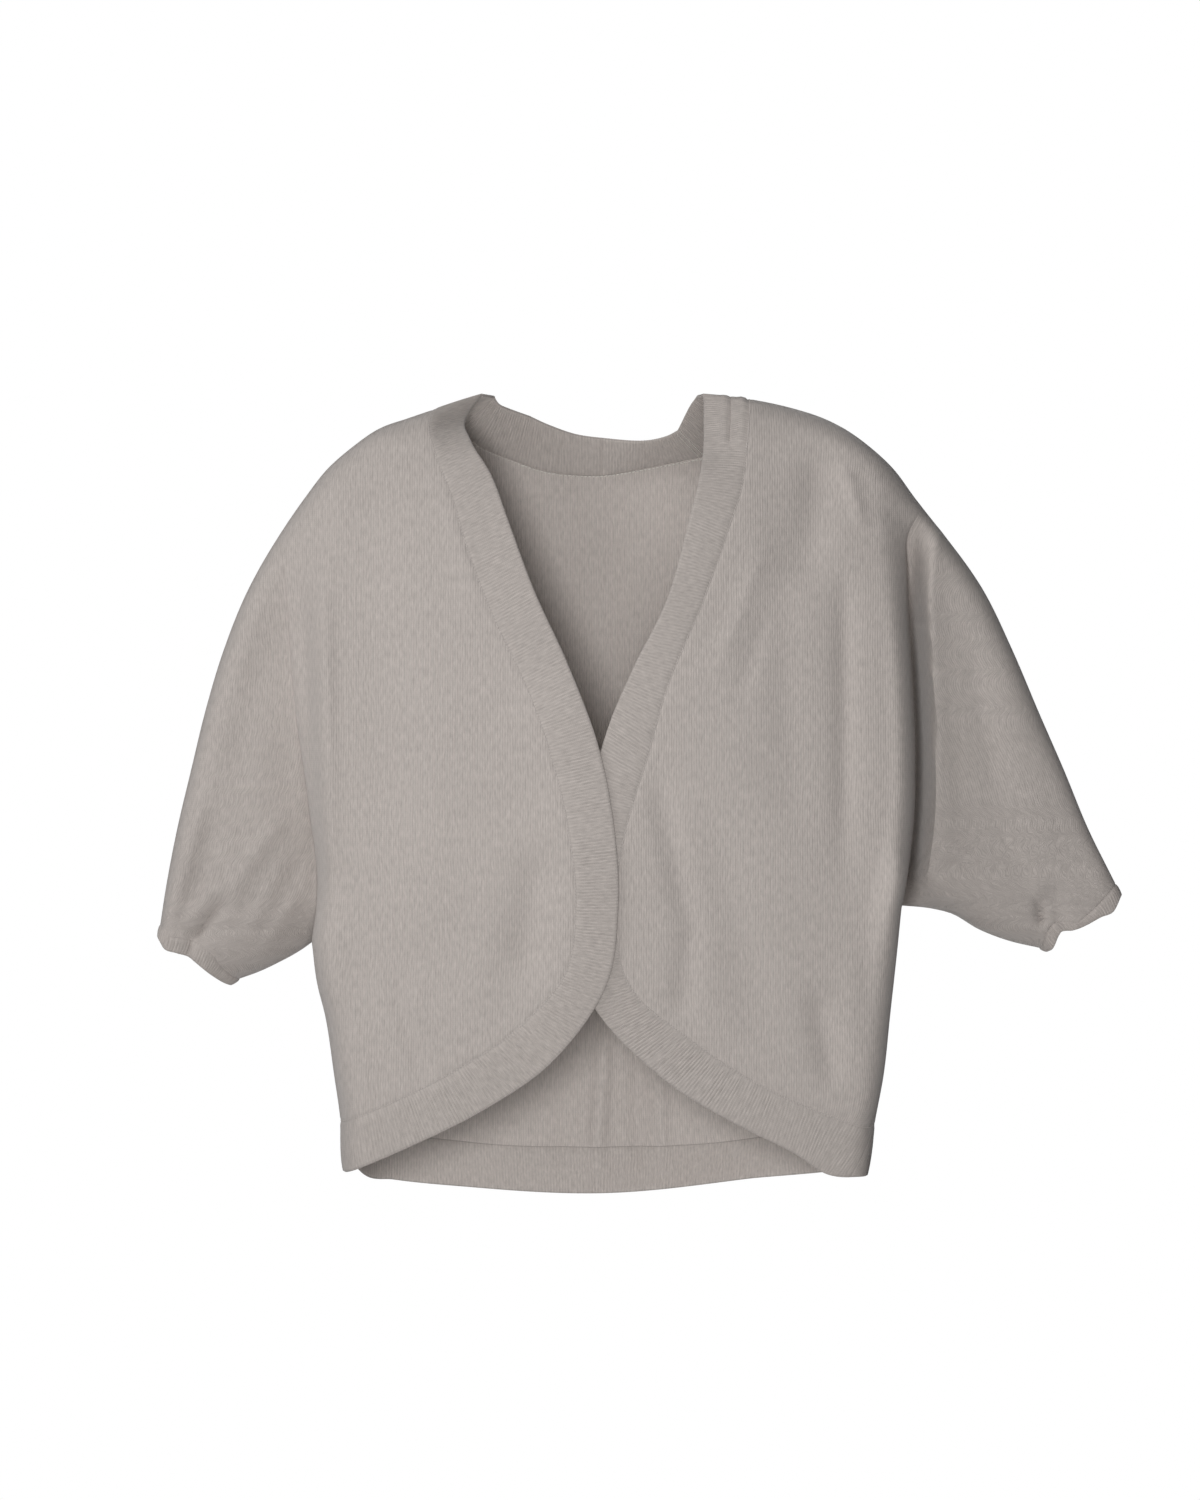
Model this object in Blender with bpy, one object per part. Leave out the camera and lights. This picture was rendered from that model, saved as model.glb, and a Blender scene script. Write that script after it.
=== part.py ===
"""Batwing cardigan: an open-fronted, cropped, fine-gauge knit with elbow sleeves cut in one with the body.

It is shown filled out, as worn, with nobody in it. Tables are in millimetres and the model is in metres.
+X is the wearer's left, +Y the back and +Z up. The origin is midway between the tops of the shoulders.
Every panel is a thin wall. Its outer face follows one worn form, given by the outline from the front
(shoulders, overarms, underarms and sides) and by how far the front and the back stand from the side seams.
"""

import bpy
import numpy as np

MM = 0.001
JERSEY = 1.5  # wall of the plain knit panels
RIB = 2.0  # wall of the ribbed bands and cuffs
TRIM = 0.16  # taken off each edge, so that pieces lie 0.3 mm apart at a seam
LAP = 3.8  # how far the right front stands out over the left one
HALF_CHEST = 220.0
BAND_STEPS = 3  # facets across a band

FRONT, BACK = -1, 1


def table(names, *rows):
    """A table with named columns, a row for each place."""
    return dict(zip(names.split(), np.array(rows, float).T))


# Outline seen from the front, one table a side. x runs outward from the middle of the body, z is height, and
# round is the radius at which the cloth turns from the front to the back there.
OVERARM = {
    "right": table(
        "x z round",
        (97, 1, 40), (133, -12, 42), (153, -19, 45), (175, -27, 48), (198, -43, 50), (215, -58, 50),
        (234, -82, 52), (250, -105, 52), (277, -152, 52), (296, -199, 52), (310, -246, 52),
        (321, -292, 50), (332, -339, 46), (341, -386, 40), (345, -411, 37),
    ),
    "left": table(
        "x z round",
        (76, 1, 40), (111, -4, 42), (147, -12, 45), (168, -19, 48), (184, -27, 50), (206, -43, 50),
        (222, -58, 52), (240, -82, 52), (258, -105, 52), (292, -152, 52), (315, -199, 52), (335, -246, 50),
        (355, -292, 46), (374.5, -339, 42), (395, -380, 37),
    ),
}
UNDERARM = {
    "right": table("x z", (227, -425), (235, -431), (258, -444), (271, -450), (285, -455)),
    "left": table("x z", (227, -398), (256, -401), (268, -404), (291, -417), (315, -426), (337, -431)),
}
SIDE = {
    "right": table(
        "x z", (227, -425), (223, -456), (217, -480), (210, -526), (205, -562), (203, -600), (199, -618)
    ),
    "left": table(
        "x z", (227, -398), (224, -433), (219, -480), (214, -526), (207, -564), (202, -600), (198, -618)
    ),
}
# The line from the shoulder down to the underarm where the body stops and the sleeve starts.
ARM_LINE = {
    "right": table(
        "x z", (250, -105), (245, -162), (238, -248), (229, -315), (223, -397), (227, -425)
    ),
    "left": table(
        "x z", (245, -88), (231, -112), (230, -142), (233, -226), (233, -276), (230, -340), (227, -398)
    ),
}
CUFF_END = {  # lower edge of the cuff, at the overarm and at the underarm
    "right": {"over": (347, -420), "under": (292, -460)},
    "left": {"over": (400, -389), "under": (343, -434)},
}
# How far the cuff's seam and its lower edge rise above straight lines, by the share from underarm to overarm.
CUFF_WAVE = {
    "right": table(
        "share seam edge",
        (0, 0, 0), (0.15, 2, 1), (0.31, 8, 2.5), (0.5, 9, 3.5), (0.69, 3, 0), (0.85, -1, -3.4), (1, 0, 0),
    ),
    "left": table(
        "share seam edge",
        (0, 0, 0), (0.04, 7, 2), (0.15, 12, 10), (0.31, 6, 4), (0.5, -3, 0), (0.69, -3.6, -2.5),
        (0.85, -2, -6), (1, 0, 0),
    ),
}
CUFF_WAVE_FADE = 60.0  # the seam's wave dies out this far up the sleeve
NECK_DOME = table("x z", (-60, 25), (0, 40), (45, 25))  # closes the form above the neck, and carries no cloth

# How far the cloth stands from the plane of the side seams, at the middle of the body and at its edge.
TORSO = {
    FRONT: table(
        "z middle edge",
        (0, 34, 40), (-40, 60, 52), (-100, 86, 66), (-180, 102, 76), (-260, 112, 84), (-340, 114, 88),
        (-430, 111, 88), (-520, 106, 88), (-610, 102, 88),
    ),
    BACK: table(
        "z middle edge",
        (0, 50, 42), (-40, 76, 56), (-60, 86, 62), (-100, 94, 68), (-180, 102, 78), (-260, 102, 82),
        (-340, 99, 84), (-430, 95, 84), (-520, 94, 84), (-630, 96, 86),
    ),
}
# The valley between body and sleeve: how deep it lies, how far the body turns into it, how square that turn
# is, how far the sleeve takes to rise to its own depth, and that depth.
VALLEY = {
    ("right", FRONT): table(
        "z line body square sleeve arm",
        (-105, 54, 50, 0, 45, 58), (-162, 47, 46, 0, 42, 58), (-248, 42, 46, 0.1, 42, 57),
        (-315, 38, 50, 0.3, 45, 55), (-397, 32, 60, 0.8, 45, 46), (-425, 28, 72, 1, 45, 41),
        (-620, 28, 86, 1, 45, 37),
    ),
    ("left", FRONT): table(
        "z line body square sleeve arm",
        (-88, 54, 40, 0, 45, 58), (-112, 46, 30, 0.6, 50, 58), (-160, 36, 40, 1, 55, 57),
        (-226, 30, 50, 1, 60, 56), (-300, 28, 60, 1, 60, 52), (-360, 27, 66, 1, 55, 44),
        (-398, 26, 72, 1, 50, 40), (-620, 26, 80, 1, 45, 37),
    ),
    ("right", BACK): table(
        "z line body square sleeve arm",
        (-105, 54, 45, 0, 45, 58), (-162, 50, 45, 0, 45, 58), (-248, 45, 48, 0.2, 45, 57),
        (-315, 40, 52, 0.4, 45, 55), (-397, 32, 62, 0.8, 45, 46), (-425, 28, 72, 1, 45, 41),
        (-620, 28, 84, 1, 45, 37),
    ),
    ("left", BACK): table(
        "z line body square sleeve arm",
        (-88, 54, 40, 0, 45, 58), (-142, 49, 42, 0.1, 48, 58), (-226, 42, 48, 0.3, 50, 56),
        (-300, 38, 56, 0.5, 50, 52), (-360, 33, 64, 0.8, 50, 44), (-398, 28, 72, 1, 50, 40),
        (-620, 28, 80, 1, 45, 37),
    ),
}
UNDERARM_ROUND = 36.0
CHEST_POWER = 2.2  # how late the chest and the back fall away towards the sides
FOLD_CLEAR = 12.0  # folds die out this near the line of the arm
ARM_FORWARD = 12.0  # the sleeves lean this far forward at the cuffs
ARM_FORWARD_OVER = 150.0
ARM_FORWARD_BELOW = 70.0  # and stop leaning this far below the underarm

# Large soft folds: a trough (minus) or ridge (plus) along a line, with its width and height.
FOLDS = {
    ("right", FRONT): table(
        "x z x_end z_end width height",
        (-226, -150, -213, -430, 9, 2.5), (-180, -70, -172, -330, 22, -3), (-205, -300, -190, -540, 16, -2.5),
        (-300, -330, -322, -400, 8, -4), (-120, -180, -140, -420, 26, 2),
    ),
    ("left", FRONT): table(
        "x z x_end z_end width height",
        (130, -60, 140, -330, 14, -3), (152, -70, 168, -400, 15, 3), (196, -120, 190, -480, 16, -3),
        (75, -330, 120, -500, 20, -2.5), (300, -230, 345, -370, 16, 2.5), (345, -385, 352, -415, 7, -4),
    ),
    ("right", BACK): table(
        "x z x_end z_end width height",
        (-210, -150, -196, -480, 14, 3), (-168, -90, -150, -420, 20, -3), (-90, -300, -100, -560, 24, 2.5),
        (-285, -300, -312, -410, 10, -3),
    ),
    ("left", BACK): table(
        "x z x_end z_end width height",
        (205, -130, 192, -450, 14, 3), (160, -80, 138, -390, 20, -3), (80, -330, 95, -570, 24, 2.5),
        (318, -280, 352, -390, 10, -3),
    ),
}

# The ribbed front bands, a row for each place along the strip: the seam to the front, then the free edge.
# own says how far the edge keeps to its own depth, edge_y, near the neck, where it stands away from the form.
BAND = {
    "right": table(
        "seam_x seam_z edge_x edge_z edge_y own",
        (-68, -47, -60, -13, 46, 1), (-98, -35, -82, -6, 28, 1), (-133, -12, -97, 1, 2, 1),
        (-136, -28, -109, -20, -22, 1), (-131, -49, -105, -38, -45, 0.7), (-117, -85, -88, -68, -68, 0),
        (-106, -122, -74, -106, 0, 0), (-86, -175, -55, -157, 0, 0), (-60, -230, -29, -214, 0, 0),
        (-42, -280, -8, -270, 0, 0), (-28, -340, 5, -335, 0, 0), (-23, -396, 8, -396, 0, 0),
        (-29, -441, 1, -449, 0, 0), (-69, -489, -42, -512, 0, 0), (-115, -520, -96, -550, 0, 0),
        (-160, -543, -150, -577, 0, 0), (-205, -562, -203, -600, 0, 0),
    ),
    "left": table(
        "seam_x seam_z edge_x edge_z edge_y own",
        (77, -42, 57, -24, 46, 1), (97, -24, 68, -4, 22, 1), (111, -4, 76, 1, 2, 1),
        (110, -22, 76, -22, -22, 1), (107, -49, 75, -48, -45, 0.7), (103, -78, 71, -74, -64, 0),
        (93, -109, 65, -98, 0, 0), (73, -165, 48, -160, 0, 0), (47, -227, 20, -218, 0, 0),
        (30, -286, 0, -267, 0, 0), (14, -340, -19, -338, 0, 0), (7, -400, -24, -400, 0, 0),
        (16, -452, -14, -460, 0, 0), (64, -496, 38, -520, 0, 0), (118, -531, 104, -562, 0, 0),
        (165, -552, 158, -586, 0, 0), (207, -564, 202, -600, 0, 0),
    ),
}
SHOULDER_ROW = 2  # the row of each band table that lies on the shoulder seam
CORNER_ROW = 13  # the row where the front's hem curve starts
# The back neck band between the two cross seams, the same way.
NECK = table(
    "seam_x seam_z edge_x edge_z edge_y",
    (-68, -47, -60, -13, 46), (-48, -53, -46, -19, 53), (-24, -56, -24, -26, 62), (0, -56, 0, -29, 66),
    (30, -51, 30, -31, 62), (56, -46, 48, -28, 54), (77, -42, 57, -24, 46),
)
# The back hem: the seam of its band and its lower edge, across the back.
HEM = table(
    "seam_x seam_z edge_x edge_z",
    (-205, -562, -203, -600), (-170, -582, -170, -620), (-110, -592, -108, -627), (0, -596, 0, -632),
    (110, -590, 108, -621), (170, -578, 168, -612), (207, -564, 202, -600),
)
# Where the right front crosses the left one: it stands out from this x and below this z.
OVER_X = -78.0
OVER_X_RUN = 55.0
OVER_Z = -195.0
OVER_Z_RUN = 60.0
# The side seam of the left front swings forward round the side near the hem, by this much along the cloth.
SWING = table("z along", (-530, 0), (-550, 6), (-564, 22), (-582, 38), (-600, 52), (-618, 62))
SWING_ROUND = 80.0
SWING_FADE = 130.0
SWING_FROM_X = 60.0

RIDGE_COLUMNS = 10
RIDGE_SHARE = 0.32  # the share of the back's width below the columns of one shoulder
NECK_COLUMNS = 12
TAIL_STEPS = 4  # from a cross seam to the shoulder
ARM_ROWS = 15  # from the shoulder to the underarm
SIDE_ROWS = 8  # from the underarm to the hem seam
CUFF_ROWS = 5  # from the underarm to the cuff
SLEEVE_COLUMNS = 9
BODY_CLUSTER = 1.8  # columns crowd towards the side, where the cloth turns
ARM_CLUSTER = 1.5  # rows crowd towards the shoulder
CUFF_AT = 0.72  # the share of the overarm that lies level with the underarm point
CUFF_STEPS = 2
FOLD_RUN_OUT = 0.15  # how much of its length a fold runs past its ends
SHARP_EDGE = np.radians(50)
SAME_PLACE = 3  # decimals of a millimetre to which seam points agree
MITRE = 0.8  # keeps the trim of a sharp corner short

SIGN = {"right": -1, "left": 1}
GREIGE = (0.42, 0.385, 0.35, 1)
RIB_GREIGE = (0.40, 0.365, 0.335, 1)


def smooth(source, name, at, key="z"):
    """A column of a table between its rows, without overshoot, and held at its ends."""
    order = np.argsort(source[key])
    keys, values = source[key][order], source[name][order]
    step = np.diff(keys)
    slope = np.diff(values) / step
    tangent = np.zeros_like(values)
    same = slope[:-1] * slope[1:] > 0
    before, after = np.where(same, slope[:-1], 1), np.where(same, slope[1:], 1)
    heavy, light = 2 * step[1:] + step[:-1], step[1:] + 2 * step[:-1]
    tangent[1:-1] = np.where(same, (heavy + light) / (heavy / before + light / after), 0)
    at = np.clip(at, keys[0], keys[-1])
    row = np.clip(np.searchsorted(keys, at, side="right") - 1, 0, len(step) - 1)
    run = step[row]
    t = (at - keys[row]) / run
    return (
        (1 + 2 * t) * (1 - t) ** 2 * values[row]
        + t * (1 - t) ** 2 * run * tangent[row]
        + t * t * (3 - 2 * t) * values[row + 1]
        + t * t * (t - 1) * run * tangent[row + 1]
    )


class Curve:
    """A smooth curve through the rows of a table, asked by share of its length or by one of its columns."""

    FINE = 24
    SKIP = 6

    def __init__(self, source, names, scale=None):
        points = np.stack([source[name] for name in names.split()], axis=1)
        if scale is not None:
            points = points * scale
        length = np.concatenate([[0], np.cumsum(np.linalg.norm(np.diff(points[:, :2], axis=0), axis=1))])
        tangent = np.gradient(points, length, axis=0)
        share = np.arange(self.FINE)[:, None] / self.FINE
        fine = []
        for k, run in enumerate(np.diff(length)):
            fine.append(
                (1 + 2 * share) * (1 - share) ** 2 * points[k]
                + share * (1 - share) ** 2 * run * tangent[k]
                + share**2 * (3 - 2 * share) * points[k + 1]
                + share**2 * (share - 1) * run * tangent[k + 1]
            )
        self.fine = np.concatenate(fine + [points[-1:]])
        run = np.cumsum(np.linalg.norm(np.diff(self.fine[:, :2], axis=0), axis=1))
        self.share = np.concatenate([[0], run]) / run[-1]

    def coarse(self):
        return self.fine[:: self.SKIP]

    def row(self, number):
        """The share at which the curve passes a row of its table."""
        return self.share[number * self.FINE]

    def at(self, share):
        return np.stack([np.interp(share, self.share, column) for column in self.fine.T], axis=-1)

    def where(self, column, value, first=0.0, last=1.0):
        """The share at which a column that only rises or falls between two shares has this value."""
        inside = (self.share >= first - 1e-9) & (self.share <= last + 1e-9)
        values, shares = self.fine[inside, column], self.share[inside]
        if values[0] > values[-1]:
            values, shares = values[::-1], shares[::-1]
        return np.interp(value, values, shares)


def outline(source, side):
    """The curve of an outline table, with x turned to this side."""
    return Curve(source[side], "x z", np.array([SIGN[side], 1]))


def turn(share):
    """A quarter circle: 0 at an edge, where it leaves square to it, and 1 at share 1."""
    share = np.clip(share, 0, 1)
    return np.sqrt(1 - (1 - share) ** 2)


def ease(share):
    share = np.clip(share, 0, 1)
    return share * share * (3 - 2 * share)


def nearest(x, z, line, rounds=None):
    """Distance to a fine line of points, and the radius there."""
    start, end = line[:-1], line[1:]
    run = end - start
    place = np.stack([x.ravel(), z.ravel()], axis=1)
    t = ((place[:, None] - start) * run).sum(2) / (run * run).sum(1)
    t = np.clip(t, 0, 1)
    apart = np.linalg.norm(start + t[..., None] * run - place[:, None], axis=2)
    best = apart.argmin(1)
    distance = apart[np.arange(len(best)), best]
    if rounds is None:
        return distance.reshape(x.shape), None
    at = best + t[np.arange(len(best)), best]
    return distance.reshape(x.shape), np.interp(at, np.arange(len(rounds)), rounds).reshape(x.shape)


def top_line():
    """The whole upper outline, from one cuff over the shoulders and the neck to the other, with its radii."""
    right = Curve(OVERARM["right"], "x z round", np.array([-1, 1, 1])).coarse()
    left = Curve(OVERARM["left"], "x z round", np.array([1, 1, 1])).coarse()
    dome = np.stack([NECK_DOME["x"], NECK_DOME["z"], np.full(3, right[0, 2])], axis=1)
    whole = np.concatenate([right[::-1], dome, left])
    return whole[:, :2], whole[:, 2]


def folds(x, z, side, layer):
    """The height of the large folds at a place."""
    source = FOLDS[side, layer]
    height = np.zeros_like(x)
    for k in range(len(source["x"])):
        start = np.array([source["x"][k], source["z"][k]])
        run = np.array([source["x_end"][k], source["z_end"][k]]) - start
        along = ((x - start[0]) * run[0] + (z - start[1]) * run[1]) / (run @ run)
        off = ((x - start[0]) * run[1] - (z - start[1]) * run[0]) / np.linalg.norm(run)
        fade = ease((along + FOLD_RUN_OUT) / 0.4) * ease((1 + FOLD_RUN_OUT - along) / 0.4)
        height += source["height"][k] * fade * np.exp(-((off / source["width"][k]) ** 2))
    return height


def line_x(z, side):
    """How far out the body's edge is: the line of the arm above the underarm, the side seam below it."""
    armhole, seam = ARM_LINE[side], SIDE[side]
    return np.where(z > seam["z"][0], smooth(armhole, "x", z), smooth(seam, "x", z))


def depth(x, z, side, layer):
    """How far the cloth's outer face stands from the plane of the side seams."""
    torso, valley = TORSO[layer], VALLEY[side, layer]
    out = x * SIGN[side]
    under_z = SIDE[side]["z"][0]
    beyond = out - line_x(z, side)
    middle, edge = smooth(torso, "middle", z), smooth(torso, "edge", z)
    body = middle + (edge - middle) * (np.abs(x) / HALF_CHEST) ** CHEST_POWER
    line = np.where(z > under_z, smooth(valley, "line", z) * turn((z - under_z) / UNDERARM_ROUND), 0)
    share = -beyond / smooth(valley, "body", z)
    square = smooth(valley, "square", z)
    on_body = line + (body - line) * (square * turn(share) + (1 - square) * ease(share))
    deep, arm = smooth(valley, "line", z), smooth(valley, "arm", z)
    on_sleeve = deep + (arm - deep) * ease(beyond / smooth(valley, "sleeve", z))
    below, _ = nearest(x, z, outline(UNDERARM, side).coarse())
    on_sleeve = on_sleeve * turn(below / UNDERARM_ROUND)
    line_top, rounds = top_line()
    above, radius = nearest(x, z, line_top, rounds)
    rounding = turn(above / radius)
    found = np.where(beyond < 0, on_body, on_sleeve) * rounding
    return found + folds(x, z, side, layer) * rounding * turn(np.abs(beyond) / FOLD_CLEAR)


def lean(x, z, side):
    """How far forward of the side seams' plane the middle of a sleeve lies."""
    above = ease((z - SIDE[side]["z"][0] + ARM_FORWARD_BELOW) / ARM_FORWARD_BELOW)
    out = np.clip((x * SIGN[side] - line_x(z, side)) / ARM_FORWARD_OVER, 0, 1)
    return -ARM_FORWARD * out**1.5 * above


def over(x, z):
    """How far the right front stands out over the left one, where they cross."""
    return LAP * ease((x - OVER_X) / OVER_X_RUN) * ease((OVER_Z - z) / OVER_Z_RUN)


def face(x, z, side, layer):
    """Points of the outer face at these places of the front view."""
    x, z = np.asarray(x, float), np.asarray(z, float)
    y = lean(x, z, side) + layer * depth(x, z, side, layer)
    if side == "right" and layer == FRONT:
        y = y - over(x, z)
    return np.stack([x, y, z], axis=-1)


def both_sides(x, z, layer):
    """Points of the outer face, each by the form of its own side of the body."""
    right, left = face(x, z, "right", layer), face(x, z, "left", layer)
    return np.where((x < 0)[..., None], right, left)


def swing(points, layer):
    """Moves what lies round the left side near the hem, so that the side seam comes forward there."""
    x, z = points[..., 0], points[..., 2]
    along = smooth(SWING, "along", z)
    near = (x > SWING_FROM_X) & (along > 0)
    edge = smooth(SIDE["left"], "x", z)
    inside = np.where(points[..., 1] == 0, 0, np.clip(edge - x, 0, None))
    radius = SWING_ROUND
    quarter = radius * np.pi / 2
    turned = radius * np.arccos(np.clip(1 - inside / radius, 0, 1))
    arc = np.where(inside < radius, turned, inside - radius + quarter)
    arc = arc - layer * along * (1 - ease(arc / SWING_FADE))
    ahead = (arc < 0) | (layer == FRONT)
    arc = np.abs(arc)
    turned = radius * (1 - np.cos(arc / radius))
    moved_x = edge - np.where(arc < quarter, turned, arc - quarter + radius)
    moved = np.where(ahead[..., None], face(moved_x, z, "left", FRONT), face(moved_x, z, "left", BACK))
    return np.where(near[..., None], moved, points)


def blend(top, bottom, start, end, across, down):
    """Places inside four edges, from the edges' own points."""
    across, down = across[None, :, None], down[:, None, None]
    ruled = (1 - across) * start[:, None] + across * end[:, None]
    hung = (1 - down) * top[None] + down * bottom[None]
    corners = (1 - down) * ((1 - across) * top[0] + across * top[-1]) + down * (
        (1 - across) * bottom[0] + across * bottom[-1]
    )
    return ruled + hung - corners


class Sheet:
    """An open surface of points and faces, joined from grids that share their edge points."""

    def __init__(self):
        self.points, self.faces, self.marks = [], [], {}

    def add(self, points):
        first = len(self.points)
        self.points.extend(np.asarray(points, float).reshape(-1, 3))
        return np.arange(first, len(self.points)).reshape(np.shape(points)[:-1])

    def fill(self, index, flip):
        """Faces between the rows and columns of a grid of point numbers."""
        for j in range(index.shape[0] - 1):
            for i in range(index.shape[1] - 1):
                corners = [index[j, i], index[j, i + 1], index[j + 1, i + 1], index[j + 1, i]]
                ring = [c for k, c in enumerate(corners) if c != corners[k - 1]]
                if len(ring) > 2:
                    self.faces.append(ring[::-1] if flip else ring)


def ridge_shares():
    """Shares of the columns from a band's seam to the side, crowded towards the side."""
    return 1 - (1 - np.linspace(0, 1, RIDGE_COLUMNS + 1)) ** BODY_CLUSTER


def back_shares():
    """Shares of the columns of the back's lower edge, from side to side."""
    edge = RIDGE_SHARE * (1 - ridge_shares()[::-1])
    middle = np.linspace(RIDGE_SHARE, 1 - RIDGE_SHARE, NECK_COLUMNS + 2 * TAIL_STEPS + 1)
    return np.concatenate([edge, middle[1:-1], 1 - edge[::-1]])


def arm_top(side):
    """The share of the overarm at which the arm line leaves it."""
    return outline(OVERARM, side).where(0, ARM_LINE[side]["x"][0] * SIGN[side])


def arm_rows(side):
    """Places down the line of the arm and the side seam, crowded towards the shoulder."""
    armhole, seam = outline(ARM_LINE, side), outline(SIDE, side)
    down_arm = armhole.at(np.linspace(0, 1, ARM_ROWS + 1) ** ARM_CLUSTER)
    down_arm[0] = outline(OVERARM, side).at(arm_top(side))
    hem = seam.where(1, HEM["seam_z"][0 if side == "right" else -1])
    down_side = seam.at(np.linspace(0, hem, SIDE_ROWS + 1))
    return np.concatenate([down_arm, down_side[1:]])


def sleeve_places(side, inner):
    """Places of a sleeve's rows, from the arm line or underarm out to the overarm."""
    overarm = outline(OVERARM, side)
    top = arm_top(side)
    under = outline(UNDERARM, side).at(np.linspace(0, 1, CUFF_ROWS + 1))[1:]
    inner = np.concatenate([inner[1 : ARM_ROWS + 1], under])
    to_underarm = CUFF_AT * (np.arange(1, ARM_ROWS + 1) / ARM_ROWS) ** ARM_CLUSTER
    to_cuff = np.linspace(CUFF_AT, 1, CUFF_ROWS + 1)[1:]
    outer = overarm.at(top + (1 - top) * np.concatenate([to_underarm, to_cuff]))
    across = (1 - np.cos(np.pi * np.linspace(0, 1, SLEEVE_COLUMNS + 1))) / 2
    places = inner[:, None] * (1 - across[:, None]) + outer[:, None] * across[:, None]
    wave = smooth(CUFF_WAVE[side], "seam", across, "share")
    from_cuff = np.linalg.norm(places - places[-1], axis=2)
    places[..., 1] += wave * ease(1 - from_cuff / CUFF_WAVE_FADE)
    return places


def add_sleeve(sheet, side, layer, index, inner, flip):
    """Joins a sleeve to the body's grid along the arm line, whose point numbers are given."""
    places = sleeve_places(side, inner)
    points = face(places[..., 0], places[..., 1], side, layer)
    on_seam = lean(places[..., 0], places[..., 1], side)
    points[:, -1, 1] = on_seam[:, -1]
    points[ARM_ROWS - 1 :, 0, 1] = on_seam[ARM_ROWS - 1 :, 0]
    grid = np.empty(places.shape[:2], int)
    grid[:ARM_ROWS, 0] = index[1 : ARM_ROWS + 1]
    grid[:ARM_ROWS, 1:] = sheet.add(points[:ARM_ROWS, 1:])
    grid[ARM_ROWS:] = sheet.add(points[ARM_ROWS:])
    shoulder = np.full((1, grid.shape[1]), index[0])
    sheet.fill(np.concatenate([shoulder, grid]), flip)
    sheet.marks["cuff", side] = grid[-1]


def ridge(side):
    """Places along the shoulder from the band's seam out to the top of the arm line."""
    overarm = outline(OVERARM, side)
    start = overarm.row(1)
    return overarm.at(start + (arm_top(side) - start) * ridge_shares())


def front_panel(side):
    """A front with the front half of its sleeve."""
    band = Curve(BAND[side], "seam_x seam_z")
    shoulder, corner = band.row(SHOULDER_ROW), band.row(CORNER_ROW)
    top = ridge(side)
    end = arm_rows(side)
    down = (end[:, 1] - end[0, 1]) / (end[-1, 1] - end[0, 1])
    corner_z = BAND[side]["seam_z"][CORNER_ROW]
    start = band.at(band.where(1, top[0, 1] + (corner_z - top[0, 1]) * down, shoulder, corner))
    across = ridge_shares()
    hem_x = start[-1, 0] + (end[-1, 0] - start[-1, 0]) * across
    bottom = band.at(band.where(0, hem_x, corner, 1.0))
    start[0], bottom[-1] = top[0], end[-1]
    places = blend(top, bottom, start, end, across, down)
    points = face(places[..., 0], places[..., 1], side, FRONT)
    points[0, :, 1] = 0
    points[ARM_ROWS:, -1, 1] = 0
    if side == "left":
        points = swing(points, FRONT)
    sheet = Sheet()
    index = sheet.add(points)
    flip = side == "left"
    sheet.fill(index, flip)
    add_sleeve(sheet, side, FRONT, index[:, -1], end, flip)
    sheet.marks["band"] = np.concatenate([index[:, 0], index[-1, 1:]])
    sheet.marks["stations"] = np.concatenate(
        [band.where(1, start[:, 1], shoulder, corner), band.where(0, hem_x[1:], corner, 1.0)]
    )
    return sheet


def tail_shares(side):
    """Shares of the band's table between the cross seam and the shoulder."""
    band = Curve(BAND[side], "seam_x seam_z")
    return np.linspace(0, band.row(SHOULDER_ROW), TAIL_STEPS + 1)


def back_panel():
    """The back with the back halves of both sleeves."""
    right, left = ridge("right"), ridge("left")
    tail_right = Curve(BAND["right"], "seam_x seam_z").at(tail_shares("right"))
    tail_left = Curve(BAND["left"], "seam_x seam_z").at(tail_shares("left"))
    neck = Curve(NECK, "seam_x seam_z").at(np.linspace(0, 1, NECK_COLUMNS + 1))
    top = np.concatenate([right[::-1], tail_right[::-1][1:], neck[1:], tail_left[1:], left[1:]])
    start, end = arm_rows("right"), arm_rows("left")
    hem = Curve(HEM, "seam_x seam_z")
    across = back_shares()
    bottom = hem.at(hem.where(0, start[-1, 0] + (end[-1, 0] - start[-1, 0]) * across))
    bottom[0], bottom[-1] = start[-1], end[-1]
    down = (start[:, 1] - start[0, 1]) / (start[-1, 1] - start[0, 1])
    places = blend(top, bottom, start, end, across, down)
    points = both_sides(places[..., 0], places[..., 1], BACK)
    points[0, : RIDGE_COLUMNS + 1, 1] = 0
    points[0, -RIDGE_COLUMNS - 1 :, 1] = 0
    points[ARM_ROWS:, [0, -1], 1] = 0
    points = swing(points, BACK)
    sheet = Sheet()
    index = sheet.add(points)
    sheet.fill(index, False)
    add_sleeve(sheet, "right", BACK, index[:, 0], start, True)
    add_sleeve(sheet, "left", BACK, index[:, -1], end, False)
    neck_from = RIDGE_COLUMNS + TAIL_STEPS
    neck_to = neck_from + NECK_COLUMNS
    sheet.marks["tail", "right"] = index[0, RIDGE_COLUMNS : neck_from + 1][::-1]
    sheet.marks["neck"] = index[0, neck_from : neck_to + 1]
    sheet.marks["tail", "left"] = index[0, neck_to : neck_to + TAIL_STEPS + 1]
    sheet.marks["hem"] = index[-1]
    return sheet


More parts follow.
